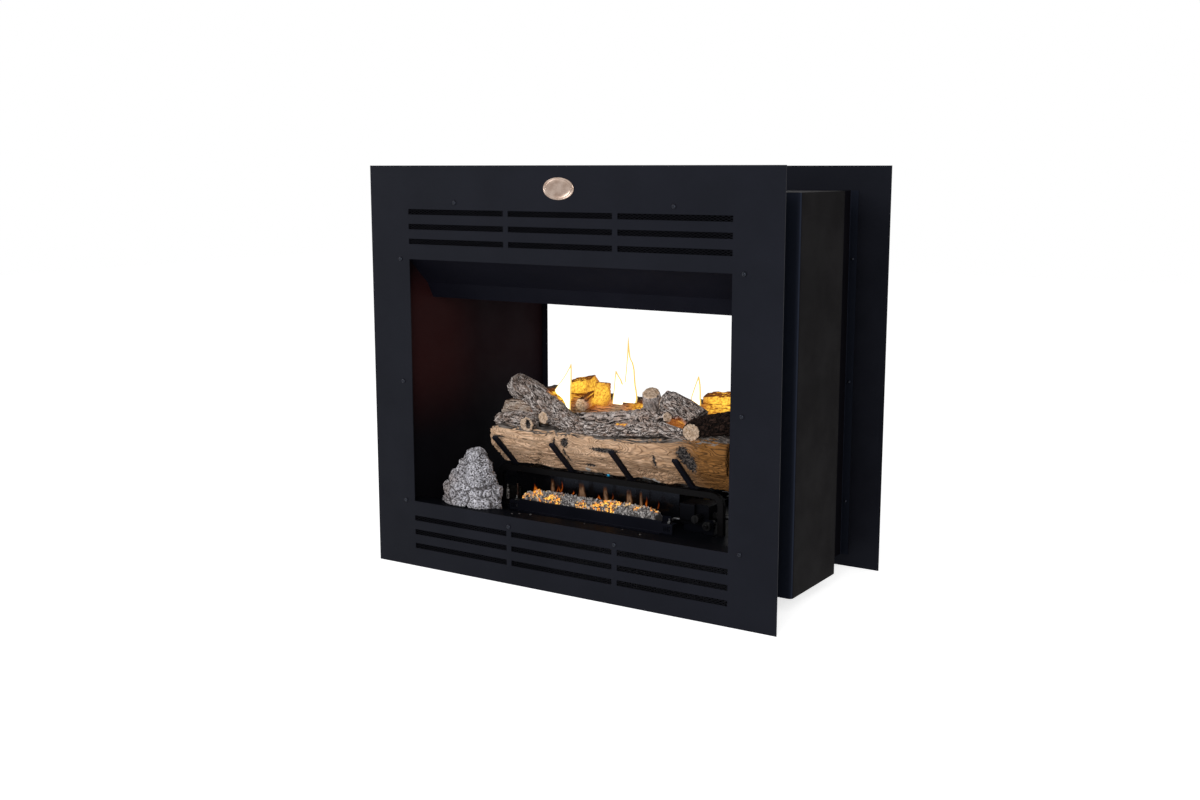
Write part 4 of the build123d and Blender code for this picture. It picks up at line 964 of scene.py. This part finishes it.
def split_paint(name, pale, deep, plus_x_tone=None, top_bark=None, bark_from=0.80, ash=()):
    """Hand-painted split wood: fine contour lines along the grain, and a few thin cracks.

    The third colour is the darker brown that the wood turns to towards +X, and top_bark the two
    tones of bark on the upper side, where the surface faces up by more than bark_from. Ash lists
    pale burnt patches as (x, y, z, reach) in millimetres.
    """
    material, tree, shader, place = new_material(name)
    along = attribute(tree, "grain", "Vector")
    streak = noise(along, 120.0, detail=6.0, Distortion=0.6)
    tone = shaded(streak, deep, pale)
    mottle = noise(place, 38.0, detail=4.0, low=0.50, high=0.70) * 0.30
    tone = shaded(mottle, tone, (0.40, 0.25, 0.15))
    wave = (cloud(along, 22.0, 2.0, Distortion=1.1) * 30.0).reckon("PINGPONG", 0.5)
    line = between(wave, 0.24, 0.02)
    strong = line * scaled(noise(place, 30.0, low=0.4, high=0.7), 0.35, 0.90)
    tone = shaded(strong, tone, (0.22, 0.115, 0.058))
    crack = between(from_crack(along, 26.0), 0.010, 0.003)
    crack = crack * between(noise(place, 26.0), 0.45, 0.75)
    tone = shaded(crack * 0.85, tone, (0.045, 0.028, 0.020))
    if plus_x_tone:
        across = part_of(place, "X")
        plus_x_lined = shaded(line, plus_x_tone, times(0.3, plus_x_tone))
        far = between(across, -0.06, 0.28) * 0.38
        near = between(across, 0.18, 0.29) * 0.58
        tone = shaded(far + near, tone, plus_x_lined)
    if top_bark:
        upper = between(facing(tree, "Z") + streak * 0.25, bark_from, bark_from + 0.18)
        cover = shaded(noise(along, 190.0, detail=4.0, low=0.4, high=0.6), *top_bark)
        tone = shaded(upper, tone, cover)
    for *spot, reach in ash:
        ragged = noise(place, 130.0, detail=4.0) * 0.5
        share = between(distance(place, spot), 0.001 * reach, 0.0003 * reach) - ragged
        powder = shaded(noise(along, 160.0, detail=4.0), (0.16, 0.14, 0.13), (0.72, 0.68, 0.64))
        tone = shaded(between(share, 0.0, 0.35), tone, powder)
    flakes = between(from_crack(along, 75.0), 0.004, 0.040)
    scales = scaled(flakes, 0.80, 1.0) * scaled(streak, 0.72, 1.10)
    scales = scales * scaled(noise(place, 210.0, detail=5.0, low=0.36, high=0.58), 0.66, 1.08)
    if top_bark:
        scales = scales * scaled(upper, 1.0, 0.12)
    relief = cloud(along, 500.0, 4.0) * 0.5 - (line + crack)
    finish_wood(shader, place, tone, scales, relief, 0.0016)
    return material


def carve(name, mesh, fineness, furrow, swell, paint):
    """Carve a prepared mesh along its grain and put it in the place of its CAD node."""
    sizes = {"Fineness": fineness, "Furrow": furrow, "Swell": swell, "Finish": paint}
    piece = run_tree(name + "_casting", mesh, wood_tree, sizes)
    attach(piece, "root")
    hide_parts(name)


# Knots of each log's face, as (x, z, half length, half height, depth) in millimetres.
front_knots = (
    (-57, 307, 9, 10, 2.4), (-84, 300, 2.5, 16, 2.2), (-62, 276, 3, 18, 1.8),
    (46, 301, 34, 4.2, 2.4), (168, 290, 3.5, 14, 2.4), (238, 315, 11, 13, 5),
    (246, 305, 12, 13, 5), (256, 293, 11, 16, 4.6), (-236, 303, 18, 2.4, 1.6),
    (-16, 254, 16, 4, 1.8),
)
rear_knots = (
    (-190, 300, 18, 14, 4.5), (20, 325, 24, 6, 3), (150, 290, 14, 20, 5),
)
ashes = (
    (118, -105, 236, 15), (140, -106, 233, 16), (-30, -108, 243, 11),
)
log_voxel = 0.0019
face_stretch = 0.26  # share of the grain's run that counts, so that it looks drawn out
core_radius = 0.05
tan_pale, tan_deep = (0.82, 0.565, 0.385), (0.62, 0.395, 0.245)
top_bark = (0.045, 0.035, 0.030), (0.30, 0.26, 0.235)
for name, knots, plus_x_tone, ash in (
    ("front_log", front_knots, (0.25, 0.105, 0.022), ashes),
    ("rear_log", rear_knots, (0.34, 0.19, 0.06), ()),
):
    low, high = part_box(name)
    middle = (low + high) / 2
    core = [(x, middle.y, middle.z, core_radius) for x in (low.x, high.x)]
    mesh = softened(name, log_voxel, 6)
    lay_grain(mesh, [(core, ())], face_stretch, knots)
    paint = split_paint(name + "_paint", tan_pale, tan_deep, plus_x_tone, top_bark, ash=ash)
    carve(name, mesh, 42.0, 0.0030, 0.010, paint)

# ---- Branches, bark logs and split pieces ----
# Thinner castings laid over the face logs. Their bark is grey and furrowed along each limb, and
# sawn ends show tan wood with rings. The pieces at the back glow in the flames, and firelight is
# painted on them.
limb_stretch = 0.36
limb_voxel = 0.0015
log_toe = 0.1037  # inner corner of the fingers, from the middle
front, rear = (-1, 0.3282), (1, 0.3702)  # side of the middle, and height of the log's top
cut_stub = ((0.245, -0.112, 0.364, 0.020), (0.255, -0.160, 0.361, 0.0178))
hollow_stub = ((-156, 338, 4.5, 8.5, 6),)  # a knot: the dark hole in a sawn stub


def over(log, *stations, sawn=()):
    """Limb from (x, inward from the toe, rise over the log, radius) stations in millimetres."""
    side, top = log
    path = [
        (0.001 * x, side * (log_toe - 0.001 * inward), top + 0.001 * rise, 0.001 * radius)
        for x, inward, rise, radius in stations
    ]
    return path, sawn


grey_bark = bark_paint("grey_bark_paint", 125.0, (0.80, 0.725, 0.69), (0.185, 0.143, 0.124))
worn_wood = bark_paint("worn_wood_paint", 62.0, (0.74, 0.665, 0.63), (0.31, 0.25, 0.225))
char = (0.060, 0.034, 0.026), (0.010, 0.006, 0.005), (0.003, 0.002, 0.002)
burnt_bark = bark_paint("burnt_bark_paint", 125.0, *char)
split_pale, split_deep = (0.70, 0.60, 0.52), (0.40, 0.305, 0.24)
split_bark = (0.030, 0.018, 0.013), (0.22, 0.13, 0.085)
split_face = split_paint(
    "split_face_paint", split_pale, split_deep, top_bark=split_bark, bark_from=0.70
)
left_bark_limbs = [
    over(front, (-262, -26, 5, 15), (-213, -28, 11, 19), (-158, -32, 12, 20)),
    over(front, (-164, -26, 12, 17), (-160, -60, 9, 17), sawn=(1,)),
]
leaning_stations = (
    (-268, 52, 79, 27), (-231, 42, 64, 33), (-178, 22, 46, 33), (-121, -2, 29, 29),
    (-71, -24, 17, 21), (-24, -38, 11, 16), (46, -44, 14, 14), (118, -44, 22, 15),
    (181, -44, 29, 15), (229, -43, 23, 12), (265, -42, 18, 9),
)
leaning_limbs = [
    over(front, *leaning_stations),
    over(front, (-123, 0, 27, 15), (-127, -44, 24, 14), sawn=(1,)),
]
forked_stations = (-83, 20, 22, 9), (-10, 16, 26, 13), (67, 10, 33, 18), (114, 4, 33, 31)
forked_limbs = [
    over(front, *forked_stations, (146, 0, 34, 19)),
    over(front, (118, 26, 46, 24), (129, -4, 99, 19), sawn=(1,)),
    over(front, (138, 2, 42, 14), (182, -24, 53, 11), sawn=(1,)),
]
top_stations = (147, 20, 78, 22), (165, 20, 74, 27), (200, 18, 61, 28), (240, 14, 47, 26)
right_top_limbs = [over(front, *top_stations, sawn=(0,))]
right_stub_limbs = [
    over(front, (244, -40, 32, 21), (270, -12, 37, 27), (300, 20, 41, 28), (330, 50, 41, 25)),
    (cut_stub, (1,)),
]
left_split_limbs = [over(front, (-262, 14, 23, 27), (-224, 12, 25, 31), (-183, 10, 25, 28))]
back_split_limbs = [
    over(rear, (-228, 0, 8, 20), (-150, 0, 22, 24), sawn=(0, 1)),
    over(rear, (-114, 24, 34, 20), (-112, 34, -16, 22)),
    over(rear, (-134, 84, -14, 16), (-137, 26, -3, 18), sawn=(0,)),
    over(rear, (150, 0, 8, 22), (245, 2, 16, 25), sawn=(0,)),
]
for name, paint, slot, fineness, furrow, limbs in (
    ("left_bark_log", grey_bark, "log_bark", 125.0, 0.0034, left_bark_limbs),
    ("leaning_branch", grey_bark, "log_bark", 125.0, 0.0040, leaning_limbs),
    ("forked_branch", worn_wood, "log_bark", 62.0, 0.0026, forked_limbs),
    ("right_top_log", grey_bark, "log_bark", 125.0, 0.0038, right_top_limbs),
    ("right_stub_log", burnt_bark, "log_split", 125.0, 0.0038, right_stub_limbs),
    ("left_split_piece", split_face, "log_split", 60.0, 0.0022, left_split_limbs),
    ("back_split_pieces", split_face, "log_split", 60.0, 0.0024, back_split_limbs),
):
    mesh = softened(name, limb_voxel, 3, cut_stub if name == "right_stub_log" else None)
    lay_grain(mesh, limbs, limb_stretch, hollow_stub if name == "left_bark_log" else ())
    carve(name, mesh, fineness, furrow, 0.006, paint)

# ---- Rock ----
# Cast refractory stone that hides the pilot, moulded from a weathered boulder: rounded lumps with
# deep pores and creases, painted dark as shade. It is light grey, and the side away from the fire
# is painted browner, as shade.
lump_fineness = 19.0
stone_tree, ends = shape_tree("weathered_stone", {"Lumps": "Float", "Pores": "Float"})
spot = put(stone_tree, "GeometryNodeInputPosition")
swirl = {0: cloud(spot, 30.0, 2.0)["Color"], "Scale": 0.030}
swirl = put(stone_tree, "ShaderNodeVectorMath", swirl, operation="SCALE")
bent = put(stone_tree, "ShaderNodeVectorMath", {0: spot, 1: swirl}, operation="ADD")
cells = {"Vector": bent, "Scale": lump_fineness}
lump = {**cells, "Smoothness": 0.2}
lump = put(stone_tree, "ShaderNodeTexVoronoi", lump, feature="SMOOTH_F1")["Distance"]
crease = put(stone_tree, "ShaderNodeTexVoronoi", cells, feature="DISTANCE_TO_EDGE")["Distance"]
pore = cloud(spot, 150.0, 5.0, Roughness=0.7)
gap = between(crease, 0.045, 0.0)
height = (0.54 - lump) * ends["Lumps"] + (pore - 0.5) * ends["Pores"]
height = height - gap * (ends["Pores"] * 0.4)
end_tree(ends, push_out(stored(ends["Geometry"], "gap", gap, "POINT"), height))

stone, tree, shader, place = new_material("weathered_stone")
tone = shaded(noise(place, 70.0, detail=6.0), (0.34, 0.33, 0.37), (0.74, 0.73, 0.80))
grains = noise(place, 260.0, detail=5.0, low=0.42, high=0.58)
tone = shaded(grains * 0.5, tone, (0.95, 0.93, 0.96))
# Painted shade: the side away from the fire, at the left, is darkened to brown.
left_side_shade = between(part_of(place, "X"), -0.270, -0.345) * noise(place, 30.0, high=0.6)
tone = shaded(left_side_shade * 0.7, tone, (0.28, 0.205, 0.165))
flat = put(tree, "ShaderNodeMapping", {"Vector": place, "Scale": (1.0, 1.0, 2.0)})
ledge = between(from_crack(flat, 42.0), 0.022, 0.006) * noise(place, 40.0, low=0.40, high=0.55)
pits = between(noise(place, 300.0, detail=4.0, low=0.3, high=0.7), 0.44, 0.26)
# Painted shade: creases, ledges and pores are darkened nearly black.
shaded_hollows = attribute(tree, "gap").reckon("MAXIMUM", ledge).reckon("MAXIMUM", pits)
tone = shaded(shaded_hollows * 0.92, tone, (0.045, 0.036, 0.034))
fill(shader, {"Base Color": tone, "Roughness": 0.93, "Specular IOR Level": 0.15})
emboss(shader, grains - shaded_hollows * 2.2, 0.9, 0.0016)
rock_sizes = {"Lumps": 0.017, "Pores": 0.0075, "Finish": stone}
rock = run_tree("weathered_rock", softened("rock", 0.0017, 12), stone_tree, rock_sizes)
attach(rock, "root")
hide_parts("rock")


# ---- Flames ----
# Thin tongues of burning gas: four tall ones over the burner, white-hot inside a yellow rim, a blue
# one at a port, and small orange licks and dim plumes over the front embers.
def burning(name, core, edge, rim_start, dense, thin, wispy=False):
    """Glowing gas: core and edge are its light, dense and thin how much they hide."""
    material, tree, shader, place = new_material(name)
    rim = attribute(tree, "flame_rim")
    outer = between(rim, rim_start, rim_start + 0.16)
    light = put(tree, "ShaderNodeEmission", {0: shaded(outer, core, edge), "Strength": 1.0})
    veil = scaled(between(rim, 0.1, 1.0), dense, thin)
    if wispy:
        drawn_up = put(tree, "ShaderNodeMapping", {"Vector": place, "Scale": (1.0, 1.0, 0.4)})
        veil = veil * scaled(noise(drawn_up, 230.0, detail=4.0), 0.10, 1.4)
    clear = put(tree, "ShaderNodeBsdfTransparent")
    mixed = put(tree, "ShaderNodeMixShader", {0: veil, 1: clear, 2: light})
    fill(tree.nodes["Material Output"], {"Surface": mixed})
    tree.nodes.remove(shader)
    return material


flame_sides = 24
flame_rows = 26
flame_flatness = 0.16
flame_rim = 6.5  # millimetres from the edge to the clear core


def flame_piece(name, tongues, fade, material):
    """Closed tongues; each is its depth y and rows of (height, left edge, right edge), foot first.

    A third part gives the heights up to which its left and right edges lie in another tongue and
    have no rim. The larger fade is, the nearer to its tip a tongue turns to rim.
    """
    verts, faces, rims = [], [], []
    for y, rows, *joined in tongues:
        first = len(verts)
        heights, lefts, rights = zip(*rows)
        for level in range(flame_rows + 1):
            share = level / flame_rows
            height = heights[0] + share * (heights[-1] - heights[0])
            left, right = (np.interp(height, heights, edge) for edge in (lefts, rights))
            half = (right - left) / 2
            for side in range(flame_sides):
                turn = 2 * pi * side / flame_sides
                x = (left + right) / 2 + half * cos(turn)
                depth = y + flame_flatness * half * sin(turn)
                verts.append((0.001 * x, 0.001 * depth, 0.001 * height))
                edge_gap = half * (1 - abs(cos(turn)))
                if joined and height < joined[0][cos(turn) > 0]:
                    edge_gap = flame_rim
                rims.append(max(1 - edge_gap / flame_rim, share**fade, 0))
        for level in range(flame_rows):
            for side in range(flame_sides):
                low = first + level * flame_sides
                ahead = (side + 1) % flame_sides
                above = low + flame_sides
                faces.append((low + side, low + ahead, above + ahead, above + side))
        top = first + flame_rows * flame_sides
        faces.append(tuple(first + side for side in reversed(range(flame_sides))))
        faces.append(tuple(top + side for side in range(flame_sides)))
    mesh = bpy.data.meshes.new(name)
    mesh.from_pydata(verts, [], faces)
    keep(mesh, "flame_rim", "FLOAT", rims)
    mesh.shade_smooth()
    mesh.materials.append(material)
    piece = add_object(name, mesh)
    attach(piece, "root")


left_flame = (
    (338, -156, -146), (350, -158, -144), (363, -161, -144), (376, -170, -143), (385, -187, -143),
    (392, -189, -142), (402, -181, -142), (413, -171, -141), (427, -160, -141), (440, -152, -141),
    (450, -146, -141), (457, -143, -142),
)
twin_flame = (
    (375, -30, -3), (389, -28, 2), (408, -25, 2), (420, -24, -1), (431, -23, -6),
    (440, -22, -13), (450, -21, -19),
)
tallest_flame = (
    (380, -17, 30), (390, -14, 33), (407, -5, 31), (420, -1, 28), (439, 1, 26),
    (455, 3, 25), (470, 4, 21), (480, 5, 14), (503, 6, 11), (519, 7, 9.5),
    (528, 7.6, 8.2),
)
right_flame = (
    (380, 170, 180), (391, 157, 181), (401, 156, 180), (413, 160, 180), (430, 166, 179),
    (441, 170, 177), (449, 173, 175),
)
tall_flames = (
    (-10, left_flame),
    (-12, twin_flame, (372, 421)),
    (-5, tallest_flame, (423, 372)),
    (20, right_flame),
)
white_gas = burning("burning_gas", (3.2, 2.8, 1.9), (1.0, 0.68, 0.19), 0.40, 1.0, 1.0)
flame_piece("burner_flames", tall_flames, 9, white_gas)
port_flame = (213, -30, -22), (216, -30.5, -22), (218.5, -29, -24), (220, -27, -25)
blue_gas = burning("blue_gas", (0.02, 0.42, 0.72), (0.01, 0.10, 0.30), 0.75, 0.85, 0.30)
flame_piece("port_flames", [(-34, port_flame)], 4, blue_gas)


def lick(x, foot, tip, half_width, lean):
    """Small curled flame over the front embers."""
    rows = []
    for share, width in ((0, 0.5), (0.2, 1.0), (0.45, 0.9), (0.7, 0.55), (0.9, 0.25), (1, 0.08)):
        middle = x + lean * sin(2.6 * share)
        half = half_width * width
        rows.append((foot + share * (tip - foot), middle - half, middle + half))
    return -135 + 0.6 * lean, rows


licks = [
    lick(-163, 178, 196, 4, 4),
    lick(-150, 182, 192, 5, -3),
    lick(-101, 184, 204, 2.2, 5),
    lick(-90, 184, 212, 2.2, 5),
    lick(-84, 184, 202, 2.4, -5),
    lick(-58, 184, 194, 2.6, 4),
    lick(8, 184, 193, 3, 4),
    lick(20, 184, 192, 3, -4),
    lick(45, 184, 201, 2.2, 4),
    lick(132, 182, 206, 2.6, 3),
    lick(139, 182, 197, 2.6, -4),
    lick(160, 178, 201, 2.0, 4),
]
orange = burning("orange_lick", (0.62, 0.15, 0.010), (0.30, 0.040, 0.004), 0.70, 0.80, 0.20, True)
flame_piece("ember_licks", licks, 4, orange)

plume_shape = ((174, -1.5, 1.3), (186, -1.1, 1.2), (198, -1.0, 0.9), (212, -0.9, 0.5))
plumes = [
    (-118, [(height, x + left * half, x + right * half) for height, left, right in plume_shape])
    for x, half in ((-121, 6), (-42, 9), (20, 7), (81, 8), (111, 5))
]
dim = burning("dim_plume", (0.19, 0.105, 0.060), (0.12, 0.045, 0.016), 0.4, 0.62, 0.0, True)
flame_piece("ember_plumes", plumes, 2, dim)

# ---- Crumbs on the sill ----
# A few chips have dropped from the tray on to the sill behind the front panel. They are the same
# ceramic wool as the beds, and cold.
crumb_random = random.Random(5)
sill_top = 0.152
crumb_places = (
    (-0.142, -0.2445), (-0.128, -0.2355), (-0.103, -0.2300),
    (0.039, -0.2315), (0.132, -0.2285), (0.184, -0.2435),
)
mesh = bmesh.new()
for x, y in crumb_places:
    size = crumb_random.uniform(0.0016, 0.0030)
    chip = bmesh.ops.create_icosphere(mesh, subdivisions=1, radius=size)
    flattened = (1.0, crumb_random.uniform(0.5, 0.9), crumb_random.uniform(0.4, 0.7), 1)
    turn = Matrix.Rotation(crumb_random.uniform(0, pi), 4, "Z")
    lift = Matrix.Translation((x, y, sill_top + 0.4 * size))
    laid = lift @ turn @ Matrix.Diagonal(flattened)
    bmesh.ops.transform(mesh, matrix=laid, verts=chip["verts"])
crumb_mesh = plain_mesh("sill_crumbs", mesh)
crumb_mesh.materials.append(ember)
crumbs = add_object("sill_crumbs", crumb_mesh)
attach(crumbs, "root")
